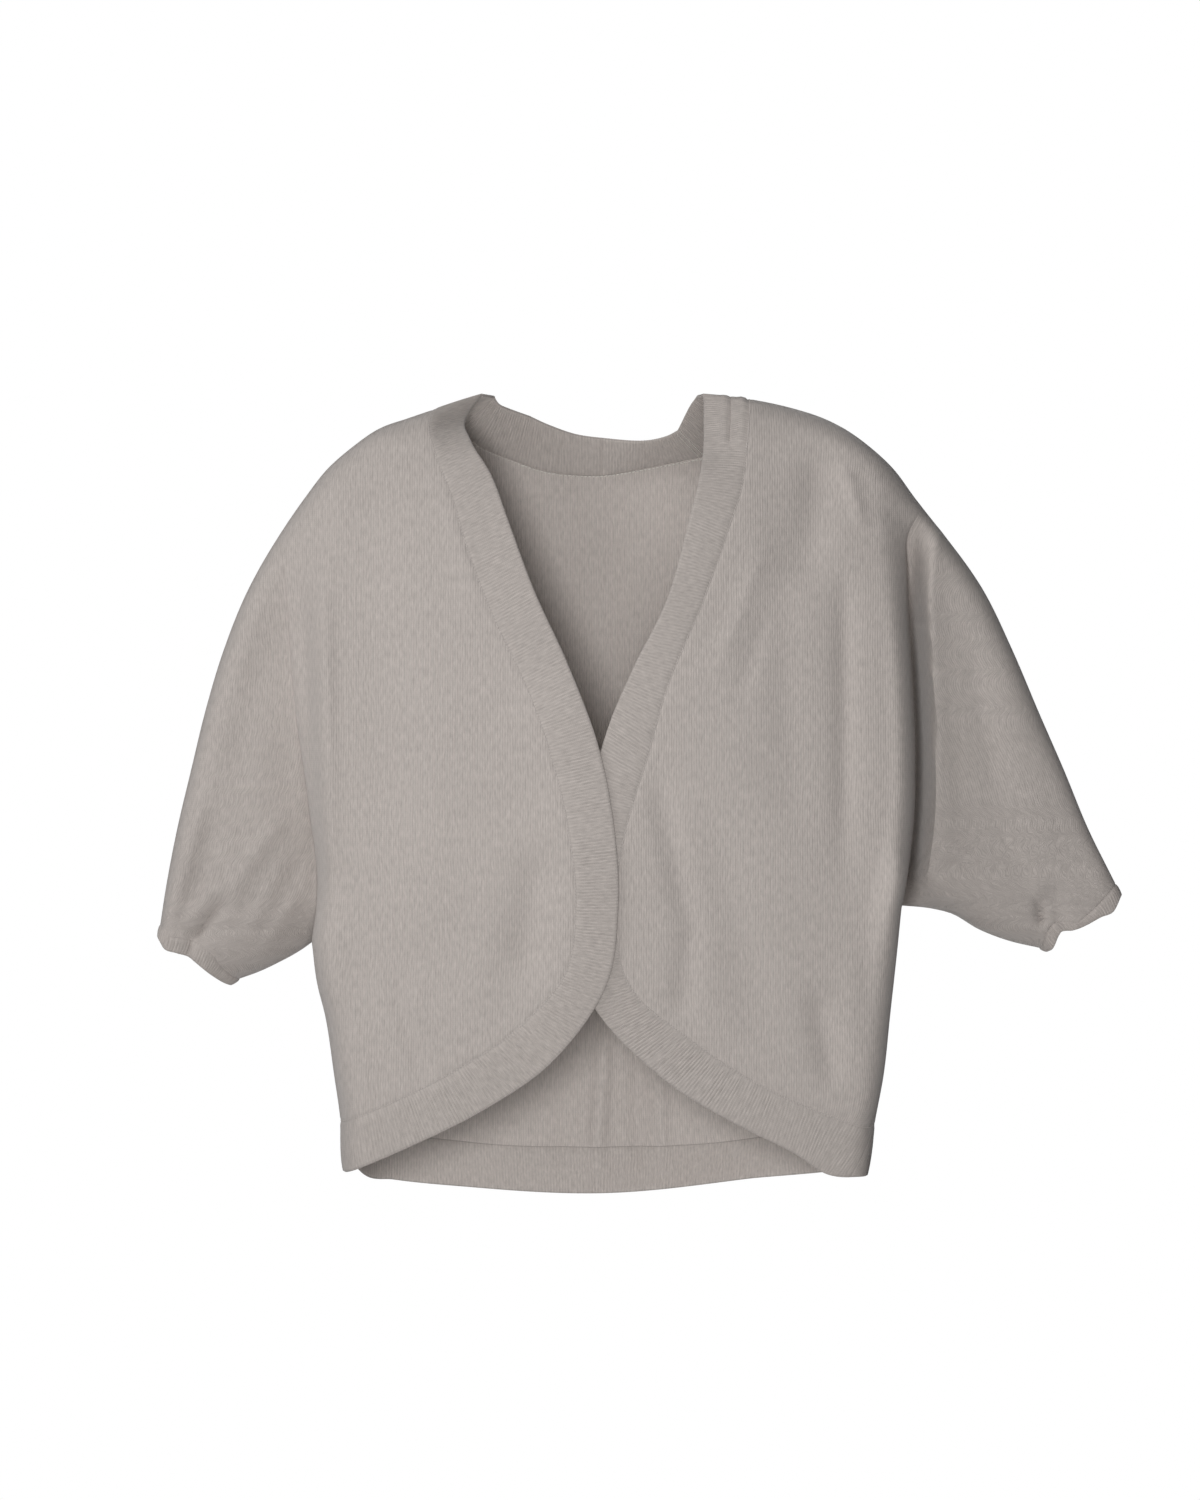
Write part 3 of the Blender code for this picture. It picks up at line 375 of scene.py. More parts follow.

# Creases placed as the photo shows them in front, and similar ones where it shows nothing. Each is a
# trough (minus) or a ridge (plus) along a line. keen says how sharp its crest is, from 0 to 1.
CREASES = {
    ("right", FRONT): table(
        "x z x_end z_end width height keen",
        (-214, -150, -209, -400, 7, 4.2, 0.2), (-231, -160, -220, -410, 7, -4.8, 0.2),
        (-50, -355, -61, -450, 15, -6, 0), (-161, -450, -137, -530, 7, -3, 0.2),
        (-146, -455, -140, -500, 6, 1.5, 0), (-176, -240, -161, -320, 10, -1.2, 0),
        (-100, -257, -62, -238, 7, -1.2, 0.1), (-120, -337, -40, -310, 8, -1, 0),
        (-185, -92, -130, -72, 10, -1.5, 0), (-122, -85, -98, -170, 8, 1.5, 0),
        (-190, -480, -186, -560, 10, 1.5, 0), (-90, -400, -100, -480, 14, 1.5, 0),
        (-292, -390, -320, -424, 5, -7.5, 0.6), (-254, -345, -283, -412, 6, -3.4, 0.4),
        (-233, -358, -272, -428, 5, -3.2, 0.4), (-246, -328, -295, -395, 6, 3, 0.3),
        (-311, -370, -328, -408, 5, -2, 0.4), (-266, -205, -282, -300, 12, -2, 0),
        (-238, -392, -266, -432, 4, 1.8, 0.4), (-303, -300, -325, -380, 6, 1.5, 0.2),
    ),
    ("left", FRONT): table(
        "x z x_end z_end width height keen",
        (214, -130, 216, -430, 26, 5.5, 0), (166, -50, 149, -150, 17, -6, 0),
        (117, -130, 85, -215, 7, 2, 0.2), (122, -172, 101, -235, 7, -1.8, 0.1),
        (182, -60, 196, -105, 6, 2.5, 0.2), (181, -150, 180, -360, 8, -3.8, 0.2),
        (38, -298, 64, -413, 10, -4.5, 0.1), (65, -405, 56, -478, 10, -3.5, 0.1),
        (104, -270, 128, -294, 8, -1, 0), (158, -462, 172, -530, 10, -4, 0.1),
        (185, -430, 190, -520, 10, 1.5, 0), (247, -125, 262, -375, 9, 2.5, 0.1),
        (277, -195, 303, -320, 9, -1.8, 0.1), (336, -390, 336, -414, 4, -8, 0.4),
        (300, -335, 330, -378, 6, -1.5, 0.3), (343, -412, 350, -433, 3, -2.5, 0.5),
        (318, -345, 340, -395, 5, 1.2, 0.3),
    ),
    ("right", BACK): table(
        "x z x_end z_end width height keen",
        (-232, -190, -221, -390, 8, -2.5, 0.3), (-204, -170, -198, -420, 8, 2.5, 0.3),
        (-120, -120, -105, -260, 12, -2, 0), (-150, -430, -138, -540, 9, -2, 0.1),
        (-288, -385, -318, -425, 5, -3, 0.5), (-250, -335, -282, -405, 6, -1.6, 0.3),
        (-262, -210, -278, -300, 11, -2, 0), (-236, -372, -264, -428, 5, 1.4, 0.4),
        (-1, -500, -8, -612, 7, -6, 0.1), (-29, -545, -37, -605, 10, 2.4, 0),
        (-97, -42, -86, -52, 4, 2.5, 0),
    ),
    ("left", BACK): table(
        "x z x_end z_end width height keen",
        (206, -140, 200, -400, 9, 2.8, 0.3), (228, -170, 229, -380, 8, -3, 0.3),
        (110, -130, 92, -300, 12, -2, 0), (60, -200, 75, -360, 14, 1.6, 0),
        (150, -450, 160, -540, 10, -2, 0.1), (262, -200, 284, -330, 10, -2, 0.1),
        (300, -330, 332, -385, 6, -1.6, 0.3), (322, -380, 338, -412, 5, -3, 0.4),
        (245, -330, 262, -375, 6, 1.5, 0.3), (-1, -500, -8, -612, 7, -6, 0.1),
        (24, -510, 26, -605, 7, 3.6, 0), (42, -520, 44, -605, 6, -3.4, 0),
    ),
}

SIGN = {"right": -1, "left": 1}


def smooth_step(t, run, start, end, slope, end_slope):
    """Values on the way from start to end, with these slopes at both."""
    return (
        (1 + 2 * t) * (1 - t) ** 2 * start
        + t * (1 - t) ** 2 * run * slope
        + t * t * (3 - 2 * t) * end
        + t * t * (t - 1) * run * end_slope
    )


def lengths(line):
    """How far along a line each of its points is."""
    return np.concatenate([[0], np.cumsum(np.linalg.norm(np.diff(line, axis=0), axis=1))])


def unit(rows):
    """Directions of length 1."""
    return rows / np.maximum(np.linalg.norm(rows, axis=1), TINY)[:, None]


def smooth(source, name, at, key="z"):
    """A column of a table between its rows, without overshoot, and held at its ends."""
    order = np.argsort(source[key])
    keys, values = source[key][order], source[name][order]
    step = np.diff(keys)
    slope = np.diff(values) / step
    tangent = np.zeros_like(values)
    same = slope[:-1] * slope[1:] > 0
    before, after = np.where(same, slope[:-1], 1), np.where(same, slope[1:], 1)
    heavy, light = 2 * step[1:] + step[:-1], step[1:] + 2 * step[:-1]
    tangent[1:-1] = np.where(same, (heavy + light) / (heavy / before + light / after), 0)
    at = np.clip(at, keys[0], keys[-1])
    row = np.clip(np.searchsorted(keys, at, side="right") - 1, 0, len(step) - 1)
    t = (at - keys[row]) / step[row]
    return smooth_step(t, step[row], values[row], values[row + 1], tangent[row], tangent[row + 1])


class Curve:
    """A smooth curve through the rows of a table, asked by share of its length or by one of its columns."""

    FINE = 24

    def __init__(self, source, names, scale=None):
        points = np.stack([source[name] for name in names.split()], axis=1)
        if scale is not None:
            points = points * scale
        length = lengths(points[:, :2])
        tangent = np.gradient(points, length, axis=0)
        share = np.arange(self.FINE)[:, None] / self.FINE
        fine = []
        for k, run in enumerate(np.diff(length)):
            fine.append(smooth_step(share, run, points[k], points[k + 1], tangent[k], tangent[k + 1]))
        self.fine = np.concatenate(fine + [points[-1:]])
        length = lengths(self.fine[:, :2])
        self.share = length / length[-1]

    def row(self, number):
        """The share at which the curve passes a row of its table."""
        return self.share[number * self.FINE]

    def at(self, share):
        """The curve's columns at shares of its length."""
        return np.stack([np.interp(share, self.share, column) for column in self.fine.T], axis=-1)

    def where(self, column, value, first=0.0, last=1.0):
        """The share at which a column that only rises or falls between two shares has this value."""
        inside = (self.share >= first - TINY) & (self.share <= last + TINY)
        values, shares = self.fine[inside, column], self.share[inside]
        if values[0] > values[-1]:
            values, shares = values[::-1], shares[::-1]
        return np.interp(value, values, shares)


def outline(source, side):
    """The curve of an outline table, with x turned to this side."""
    return Curve(source[side], "x z", np.array([SIGN[side], 1]))


def turn(share, power=2.0):
    """A quarter circle: 0 at an edge, where it leaves square to it, and 1 at share 1.

    More power makes it squarer."""
    share = np.clip(share, 0, 1)
    return (1 - (1 - share) ** power) ** (1 / power)


def ease(share):
    """Rises from 0 to 1 with a level start and end."""
    share = np.clip(share, 0, 1)
    return share * share * (3 - 2 * share)


def nearest(x, z, line, rounds=None):
    """Distance to a fine line of points, and the radius there.

    Only places near it are looked up on all its points."""
    few = np.unique(np.append(np.arange(0, len(line), COARSE), len(line) - 1))
    distance, at = lookup(x.ravel(), z.ravel(), line[few])
    at = np.interp(at, np.arange(len(few)), few)
    close = distance < CLOSE
    distance[close], at[close] = lookup(x.ravel()[close], z.ravel()[close], line)
    if rounds is None:
        return distance.reshape(x.shape), None
    return distance.reshape(x.shape), np.interp(at, np.arange(len(rounds)), rounds).reshape(x.shape)


def lookup(x, z, line):
    """Distance of places to a line of points, and the number of the point there."""
    start, run = line[:-1], np.diff(line, axis=0)
    square = (run * run).sum(1)
    distance, at = np.empty(x.size), np.empty(x.size)
    for first in range(0, x.size, AT_ONCE):
        some = slice(first, first + AT_ONCE)
        off_x = x[some, None] - start[:, 0]
        off_z = z[some, None] - start[:, 1]
        t = np.clip((off_x * run[:, 0] + off_z * run[:, 1]) / square, 0, 1)
        apart = np.hypot(off_x - t * run[:, 0], off_z - t * run[:, 1])
        best = apart.argmin(1)
        row = np.arange(len(best))
        distance[some] = apart[row, best]
        at[some] = best + t[row, best]
    return distance, at


def top_line():
    """The whole upper outline, from one cuff over the shoulders and the neck to the other, with its radii."""
    right = Curve(OVERARM["right"], "x z round", np.array([-1, 1, 1])).fine
    left = Curve(OVERARM["left"], "x z round", np.array([1, 1, 1])).fine
    dome = np.stack([NECK_DOME["x"], NECK_DOME["z"], np.full(3, right[0, 2])], axis=1)
    whole = np.concatenate([right[::-1], dome, left])
    return whole[:, :2], whole[:, 2]


def strokes(source, x, z):
    """The height of folds along the lines of a table."""
    height = np.zeros_like(x)
    keen = source.get("keen", np.zeros(len(source["x"])))
    for k in range(len(source["x"])):
        start = np.array([source["x"][k], source["z"][k]])
        run = np.array([source["x_end"][k], source["z_end"][k]]) - start
        along = ((x - start[0]) * run[0] + (z - start[1]) * run[1]) / (run @ run)
        off = ((x - start[0]) * run[1] - (z - start[1]) * run[0]) / np.linalg.norm(run)
        off = np.abs(off) / source["width"][k]
        fade = ease((along + FOLD_RUN_OUT) / FOLD_FADE) * ease((1 + FOLD_RUN_OUT - along) / FOLD_FADE)
        crest = keen[k] * np.exp(-FOLD_KEEN * off) + (1 - keen[k]) * np.exp(-(off**2))
        height += source["height"][k] * fade * crest
    return height


def folds(x, z, side, layer):
    """The height of the large folds and of the creases at a place."""
    return strokes(FOLDS[side, layer], x, z) + strokes(CREASES[side, layer], x, z)


def body_edge(side):
    """The line of the arm and the side seam below it, as one fine line."""
    armhole, seam = outline(ARM_LINE, side).fine, outline(SIDE, side).fine
    return np.concatenate([armhole, seam[1:]]) * np.array([SIGN[side], 1])


BODY_EDGE = {side: body_edge(side) for side in SIGN}


def line_x(z, side):
    """How far out the body's edge is: the line of the arm above the underarm, the side seam below it."""
    edge = BODY_EDGE[side][::-1]
    return np.interp(z, edge[:, 1], edge[:, 0])


def depth(x, z, side, layer, body=False):
    """How far the cloth's outer face stands from the plane of the side seams.

    With body it is the body's own form, also for places that lie past the line of the arm."""
    torso, valley = TORSO[layer], VALLEY[side, layer]
    out = x * SIGN[side]
    under_z = SIDE[side]["z"][0]
    beyond = out - line_x(z, side)
    if body:
        beyond = np.minimum(beyond, 0)
    middle, edge = smooth(torso, "middle", z), smooth(torso, "edge", z)
    chest = middle + (edge - middle) * (np.abs(x) / HALF_CHEST) ** CHEST_POWER
    line = np.where(z > under_z, smooth(valley, "line", z) * turn((z - under_z) / UNDERARM_ROUND), 0)
    share = -beyond / smooth(valley, "body", z)
    square = smooth(valley, "square", z)
    lower = ease((under_z + SIDE_DROP - z) / SIDE_DROP)
    turned = (1 - lower) * turn(share) + lower * turn(share, SIDE_SQUARE)
    on_body = line + (chest - line) * (square * turned + (1 - square) * ease(share))
    deep, arm = smooth(valley, "line", z), smooth(valley, "arm", z)
    rise = smooth(valley, "sleeve", z)
    on_sleeve = deep + (arm - deep) * ease((beyond - FLOOR) / rise)
    on_sleeve -= TILT.get((side, layer), 0) * np.clip(beyond - FLOOR - rise, 0, None)
    below, _ = nearest(x, z, outline(UNDERARM, side).fine)
    on_sleeve = on_sleeve * turn(below / UNDERARM_ROUND)
    above, radius = nearest(x, z, *top_line())
    rounding = turn(above / (radius * EDGE_TIGHT), EDGE_POWER)
    found = np.where(beyond < 0, on_body, on_sleeve) * rounding
    clear = np.maximum(turn(np.abs(beyond) / FOLD_CLEAR), 1 - lower)
    return found + folds(x, z, side, layer) * rounding * clear


def lean(x, z, side):
    """How far forward of the side seams' plane the middle of a sleeve lies."""
    above = ease((z - SIDE[side]["z"][0] + ARM_FORWARD_BELOW) / ARM_FORWARD_BELOW)
    out = np.clip((x * SIGN[side] - line_x(z, side)) / ARM_FORWARD_OVER, 0, 1)
    return -ARM_FORWARD * out**LEAN_POWER * above


def over(x, z):
    """How far the right front stands out over the left one, where they cross."""
    return LAP * ease((x - OVER_X) / OVER_X_RUN) * ease((OVER_Z - z) / OVER_Z_RUN)


def face(x, z, side, layer, body=False):
    """Points of the outer face at these places of the front view."""
    x, z = np.asarray(x, float), np.asarray(z, float)
    y = lean(x, z, side) + layer * depth(x, z, side, layer, body)
    if side == "right" and layer == FRONT:
        y = y - over(x, z)
    return np.stack([x, y, z], axis=-1)


def both_sides(x, z, layer):
    """Points of the outer face, each by the form of its own side of the body."""
    right, left = face(x, z, "right", layer, True), face(x, z, "left", layer, True)
    return np.where((x < 0)[..., None], right, left)


def swing(points, layer):
    """Moves what lies round the left side near the hem, so that the side seam comes forward there."""
    x, z = points[..., 0], points[..., 2]
    along = smooth(SWING, "along", z)
    near = (x > SWING_FROM_X) & (along > 0)
    edge = line_x(z, "left")
    inside = np.where(points[..., 1] == 0, 0, np.clip(edge - x, 0, None))
    quarter = SWING_ROUND * np.pi / 2
    turned = SWING_ROUND * np.arccos(np.clip(1 - inside / SWING_ROUND, 0, 1))
    arc = np.where(inside < SWING_ROUND, turned, inside - SWING_ROUND + quarter)
    arc = arc - layer * along * (1 - ease(arc / SWING_FADE))
    ahead = (arc < 0) | (layer == FRONT)
    arc = np.abs(arc)
    turned = SWING_ROUND * (1 - np.cos(arc / SWING_ROUND))
    moved_x = edge - np.where(arc < quarter, turned, arc - quarter + SWING_ROUND)
    moved = np.where(
        ahead[..., None], face(moved_x, z, "left", FRONT, True), face(moved_x, z, "left", BACK, True)
    )
    return np.where(near[..., None], moved, points)


def blend(top, bottom, start, end, across, down):
    """Places inside four edges, from the edges' own points."""
    across, down = across[None, :, None], down[:, None, None]
    ruled = (1 - across) * start[:, None] + across * end[:, None]
    hung = (1 - down) * top[None] + down * bottom[None]
    corners = (1 - down) * ((1 - across) * top[0] + across * top[-1]) + down * (
        (1 - across) * bottom[0] + across * bottom[-1]
    )
    return ruled + hung - corners


class Sheet:
    """An open surface of points and quads. Each corner of a quad has its place on the knit."""

    def __init__(self):
        self.points = np.empty((0, 3))
        self.quads = np.empty((0, 4), int)
        self.knit = np.empty((0, 4, 2))
        self.marks = {}

    def add(self, points):
        """Adds points, and gives their numbers in a grid of the same shape."""
        first = len(self.points)
        points = np.asarray(points, float)
        self.points = np.concatenate([self.points, points.reshape(-1, 3)])
        return np.arange(first, len(self.points)).reshape(points.shape[:-1])

    def fill(self, index, knit, flip):
        """Quads between the rows and columns of a grid of point numbers, with the knit's grid."""
        for name, grid in (("quads", index), ("knit", knit)):
            corners = [grid[:-1, :-1], grid[:-1, 1:], grid[1:, 1:], grid[1:, :-1]]
            quads = np.stack(corners, axis=2)
            quads = quads.reshape(-1, *quads.shape[2:])
            if flip:
                quads = quads[:, ::-1]
            setattr(self, name, np.concatenate([getattr(self, name), quads]))


def ridge_shares():
    """Shares of the columns from a band's seam to the side, close at the seam and crowded towards the side."""
    flat = np.linspace(0, CROWD_FROM, FLAT_COLUMNS + 1)
    crowd = 1 - (1 - CROWD_FROM) * (1 - np.linspace(0, 1, CROWD_COLUMNS + 1)[1:]) ** 2
    return np.concatenate([[0], SEAM_SHARES, flat[1:], crowd])


def neck_shares():
    """Shares of the columns of the back neck, with close ones at the middle."""
    even = np.linspace(0, 1, NECK_COLUMNS + 1)
    return np.sort(np.concatenate([even, 0.5 + MIDDLE_SHARES, 0.5 - MIDDLE_SHARES]))


def back_shares():
    """Shares of the columns of the back's lower edge, from side to side."""
    edge = RIDGE_SHARE * (1 - ridge_shares()[::-1])
    tail = TAIL_SHARE * np.linspace(0, 1, TAIL_COLUMNS + 1)
    middle = np.concatenate([tail, TAIL_SHARE + (1 - 2 * TAIL_SHARE) * neck_shares()[1:-1], 1 - tail[::-1]])
    middle = RIDGE_SHARE + (1 - 2 * RIDGE_SHARE) * middle
    return np.concatenate([edge, middle[1:-1], 1 - edge[::-1]])


def arm_top(side):
    """The share of the overarm at which the arm line leaves it."""
    return outline(OVERARM, side).where(0, ARM_LINE[side]["x"][0] * SIGN[side])


def arm_rows(side):
    """Places down the line of the arm and the side seam, crowded towards the shoulder."""
    armhole, seam = outline(ARM_LINE, side), outline(SIDE, side)
    down_arm = armhole.at(np.linspace(0, 1, ARM_ROWS + 1) ** ARM_CLUSTER)
    down_arm[0] = outline(OVERARM, side).at(arm_top(side))
    hem = seam.where(1, HEM["seam_z"][0 if side == "right" else -1])
    shares = np.concatenate([np.linspace(0, 1, SIDE_ROWS + 1)[:-1], 1 - HEM_SHARES, [1]])
    return np.concatenate([down_arm, seam.at(shares * hem)[1:]])


def sleeve_places(side, inner):
    """Places of a sleeve's rows, from the arm line or underarm out to the overarm."""
    overarm = outline(OVERARM, side)
    top = arm_top(side)
    low = np.concatenate([np.linspace(0, 1, CUFF_ROWS + 1)[1:-1], 1 - HEM_SHARES, [1]])
    under = outline(UNDERARM, side).at(low)
    inner = np.concatenate([inner[1 : ARM_ROWS + 1], under])
    to_underarm = CUFF_AT * (np.arange(1, ARM_ROWS + 1) / ARM_ROWS) ** ARM_CLUSTER
    outer = overarm.at(top + (1 - top) * np.concatenate([to_underarm, CUFF_AT + (1 - CUFF_AT) * low]))
    across = (1 - np.cos(np.pi * np.linspace(0, 1, SLEEVE_COLUMNS + 1))) / 2
    places = inner[:, None] * (1 - across[:, None]) + outer[:, None] * across[:, None]
    wave = smooth(CUFF_WAVE[side], "seam", across, "share")
    from_cuff = np.linalg.norm(places - places[-1], axis=2)
    places[..., 1] += wave * ease(1 - from_cuff / CUFF_WAVE_FADE)
    return places


def arc_map(side, layer):
    """How far along the cloth each place is from the middle of the body, on a grid over the front view."""
    x, z = np.meshgrid(MAP_X * SIGN[side], MAP_Z)
    step = np.hypot(np.diff(depth(x, z, side, layer), axis=1), MAP_X[1] - MAP_X[0])
    return np.concatenate([np.zeros((len(MAP_Z), 1)), np.cumsum(step, axis=1)], axis=1)


def on_map(arcs, out, z):
    """A map's value at places, between its points."""
    column = np.clip((out - MAP_X[0]) / (MAP_X[1] - MAP_X[0]), 0, len(MAP_X) - 1.001)
    row = np.clip((z - MAP_Z[0]) / (MAP_Z[1] - MAP_Z[0]), 0, len(MAP_Z) - 1.001)
    i, j = column.astype(int), row.astype(int)
    a, b = column - i, row - j
    low = arcs[j, i] * (1 - a) + arcs[j, i + 1] * a
    high = arcs[j + 1, i] * (1 - a) + arcs[j + 1, i + 1] * a
    return low * (1 - b) + high * b


def on_body(arcs, x, z):
    """Place on the knit: across the wales, then along them."""
    return np.stack([np.sign(x) * on_map(arcs, np.abs(x), z), -z], axis=-1)


def on_sleeve(arcs, x, z, side):
    """The same on a sleeve, where the wales turn to run along the arm lower down."""
    out = x * SIGN[side]
    start = on_map(arcs, line_x(z, side), z)
    turned = smooth(WALE_TILT, "out", z)
    return np.stack([SIGN[side] * (on_map(arcs, out, z) - start - turned), -z], axis=-1)


def add_sleeve(sheet, side, layer, index, inner, arcs, flip):
    """Joins a sleeve to the body's grid along the arm line, whose point numbers are given."""
    places = sleeve_places(side, inner)
    points = face(places[..., 0], places[..., 1], side, layer)
    on_seam = lean(places[..., 0], places[..., 1], side)
    points[:, -1, 1] = on_seam[:, -1]
    points[ARM_ROWS - 1 :, 0, 1] = on_seam[ARM_ROWS - 1 :, 0]
    grid = np.empty(places.shape[:2], int)
    grid[:ARM_ROWS, 0] = index[1 : ARM_ROWS + 1]
    grid[:ARM_ROWS, 1:] = sheet.add(points[:ARM_ROWS, 1:])
    grid[ARM_ROWS:] = sheet.add(points[ARM_ROWS:])
    shoulder = np.full((1, grid.shape[1]), index[0])
    places = np.concatenate([np.repeat(inner[:1, None], grid.shape[1], axis=1), places])
    knit = on_sleeve(arcs, places[..., 0], places[..., 1], side)
    sheet.fill(np.concatenate([shoulder, grid]), knit, flip)


def ridge(side):
    """Places along the shoulder from the band's seam out to the top of the arm line."""
    overarm = outline(OVERARM, side)
    start = overarm.row(1)
    return overarm.at(start + (arm_top(side) - start) * ridge_shares())


def front_panel(side):
    """A front with the front half of its sleeve."""
    band = Curve(BAND[side], "seam_x seam_z")
    shoulder, corner = band.row(SHOULDER_ROW), band.row(CORNER_ROW)
    top = ridge(side)
    end = arm_rows(side)
    down = (end[:, 1] - end[0, 1]) / (end[-1, 1] - end[0, 1])
    corner_z = BAND[side]["seam_z"][CORNER_ROW]
    start = band.at(band.where(1, top[0, 1] + (corner_z - top[0, 1]) * down, shoulder, corner))
    across = ridge_shares()
    hem_x = start[-1, 0] + (end[-1, 0] - start[-1, 0]) * across
    bottom = band.at(band.where(0, hem_x, corner, 1.0))
    start[0], bottom[-1] = top[0], end[-1]
    places = blend(top, bottom, start, end, across, down)
    x, z = places[..., 0], places[..., 1]
    points = face(x, z, side, FRONT, True)
    points[0, :, 1] = 0
    points[ARM_ROWS:, -1, 1] = 0
    if side == "left":
        points = swing(points, FRONT)
    sheet = Sheet()
    index = sheet.add(points)
    arcs = arc_map(side, FRONT)
    flip = side == "left"
    sheet.fill(index, on_body(arcs, x, z), flip)
    add_sleeve(sheet, side, FRONT, index[:, -1], end, arcs, flip)
    return sheet


def back_panel():
    """The back with the back halves of both sleeves."""
    right, left = ridge("right"), ridge("left")
    tails = {}
    for side in SIGN:
        end = Curve(BAND[side], "seam_x seam_z").row(SHOULDER_ROW)
        tails[side] = band_rows(side, np.linspace(0, end, TAIL_COLUMNS + 1))[:, :2]
    neck = Curve(NECK, "seam_x seam_z").at(neck_shares())
    top = np.concatenate([right[::-1], tails["right"][::-1][1:], neck[1:], tails["left"][1:], left[1:]])
    start, end = arm_rows("right"), arm_rows("left")
    hem = Curve(HEM, "seam_x seam_z")
    across = back_shares()
    bottom = hem.at(hem.where(0, start[-1, 0] + (end[-1, 0] - start[-1, 0]) * across))
    bottom[0], bottom[-1] = start[-1], end[-1]
    down = (start[:, 1] - start[0, 1]) / (start[-1, 1] - start[0, 1])
    places = blend(top, bottom, start, end, across, down)
    x, z = places[..., 0], places[..., 1]
    points = both_sides(x, z, BACK)
    ridge_columns = len(right)
    points[0, :ridge_columns, 1] = 0
    points[0, -ridge_columns:, 1] = 0
    points[ARM_ROWS:, [0, -1], 1] = 0
    points = swing(points, BACK)
    sheet = Sheet()
    index = sheet.add(points)
    arcs = {side: arc_map(side, BACK) for side in SIGN}
    knit = np.where((x < 0)[..., None], on_body(arcs["right"], x, z), on_body(arcs["left"], x, z))
    sheet.fill(index, knit, False)
    add_sleeve(sheet, "right", BACK, index[:, 0], start, arcs["right"], True)
    add_sleeve(sheet, "left", BACK, index[:, -1], end, arcs["left"], False)
    return sheet


def even_stations(strip, shares):
    """Shares at which a strip's middle line has a whole number of ribs, evenly along the cloth."""
    middle = strip(shares)[len(ACROSS) // 2]
    length = lengths(middle)
    ribs = round(length[-1] / RIB_PITCH)
    along = np.linspace(0, length[-1], ribs * RIB_STEPS + 1)
    return np.interp(along, length, shares), along


def dense_shares(around=None):
    """Fine shares of a strip, with closer ones on each side of a place where it turns over."""
    shares = np.linspace(0, 1, DENSE + 1)
    if around is not None:
        close = TURN_REACH * np.linspace(0, 1, TURN_STEPS) ** 2
        shares = np.concatenate([shares, around + close, around - close])
    return np.unique(np.clip(shares, 0, 1))


def ribbed(points, along, flip, ring=False):
    """A ribbed strip from its points: rows across it from the seam, a column for each place along it."""
    sheet = Sheet()
    index = sheet.add(points)
    width = np.linalg.norm(np.diff(points, axis=0), axis=2).mean(axis=1)
    across = np.concatenate([[0], np.cumsum(width)])
    knit = np.stack(np.meshgrid(along, across), axis=-1)
    if ring:
        index[:, -1] = index[:, 0]
    sheet.fill(index, knit, flip)
    wave = np.abs(np.cos(np.pi * along / RIB_PITCH)) - 0.5
    uneven = 1 + RIB_UNEVEN * np.sin(along / RIB_SWELL[0]) * np.sin(along / RIB_SWELL[1] + 1)
    seam = np.exp(-((across / SEAM_WIDTH) ** 2))[:, None]
    crown = CROWN * (1 - (2 * across / across[-1] - 1) ** 2)[:, None]
    sheet.relief = (RIB_HEIGHT * wave * uneven * (1 - seam) + crown - SEAM_GROOVE * seam).ravel()
    sheet.marks["seam"], sheet.marks["edge"] = index[0], index[-1]
    sheet.marks["start"], sheet.marks["end"] = index[1:, END_COLUMN], index[1:, -END_COLUMN]
    return sheet


def band_rows(side, shares):
    """A front band's seam and edge at shares of its length.

    Nothing of it rises above its place at the shoulder."""
    rows = Curve(BAND[side], "seam_x seam_z edge_x edge_z edge_y own").at(shares)
    for name, column in (("seam_z", 1), ("edge_z", 3)):
        rows[:, column] = np.minimum(rows[:, column], BAND[side][name][SHOULDER_ROW])
    return rows


def to_edge(x, z, side, end, weight):
    """Moves the last part of a strip sideways, so that its end lies on the side seam."""
    if not end.any():
        return x
    apart = (SIGN[side] * line_x(z[:, end], side) - x[:, end])[:, :1]
    return x + apart * weight


def across_strip(rows):
    """The x and z of places across a strip, from rows with its seam's x and z and then its edge's."""
    across = ACROSS[:, None]
    return rows[:, 0] + (rows[:, 2] - rows[:, 0]) * across, rows[:, 1] + (rows[:, 3] - rows[:, 1]) * across


def band_points(side, shares):
    """Points of a front band at shares of its seam, from the seam to the free edge."""
    rows = band_rows(side, shares)
    x, z = across_strip(rows)
    x = to_edge(x, z, side, shares == 1, ease((shares - END_FROM) / (1 - END_FROM)))
    behind = shares < Curve(BAND[side], "seam_x seam_z").row(SHOULDER_ROW)
    formed = np.where(behind, face(x, z, side, BACK, True)[..., 1], face(x, z, side, FRONT, True)[..., 1])
    own = np.clip(rows[:, 5], 0, 1)
    ruled = formed[0] + (rows[:, 4] - formed[0]) * ACROSS[:, None]
    y = own * ruled + (1 - own) * formed
    y[:, shares == 1] = 0
    points = np.stack([x, y, z], axis=-1)
    return swing(points, FRONT) if side == "left" else points


def front_band(side):
    """The ribbed band of one front, from the cross seam behind the neck to the side seam."""
    over_shoulder = Curve(BAND[side], "seam_x seam_z").row(SHOULDER_ROW)
    shares, along = even_stations(lambda s: band_points(side, s), dense_shares(over_shoulder))
    points = band_points(side, shares)
    sheet = ribbed(points, along, side == "left")
    if side == "left":
        pleats(sheet, points)
    return sheet


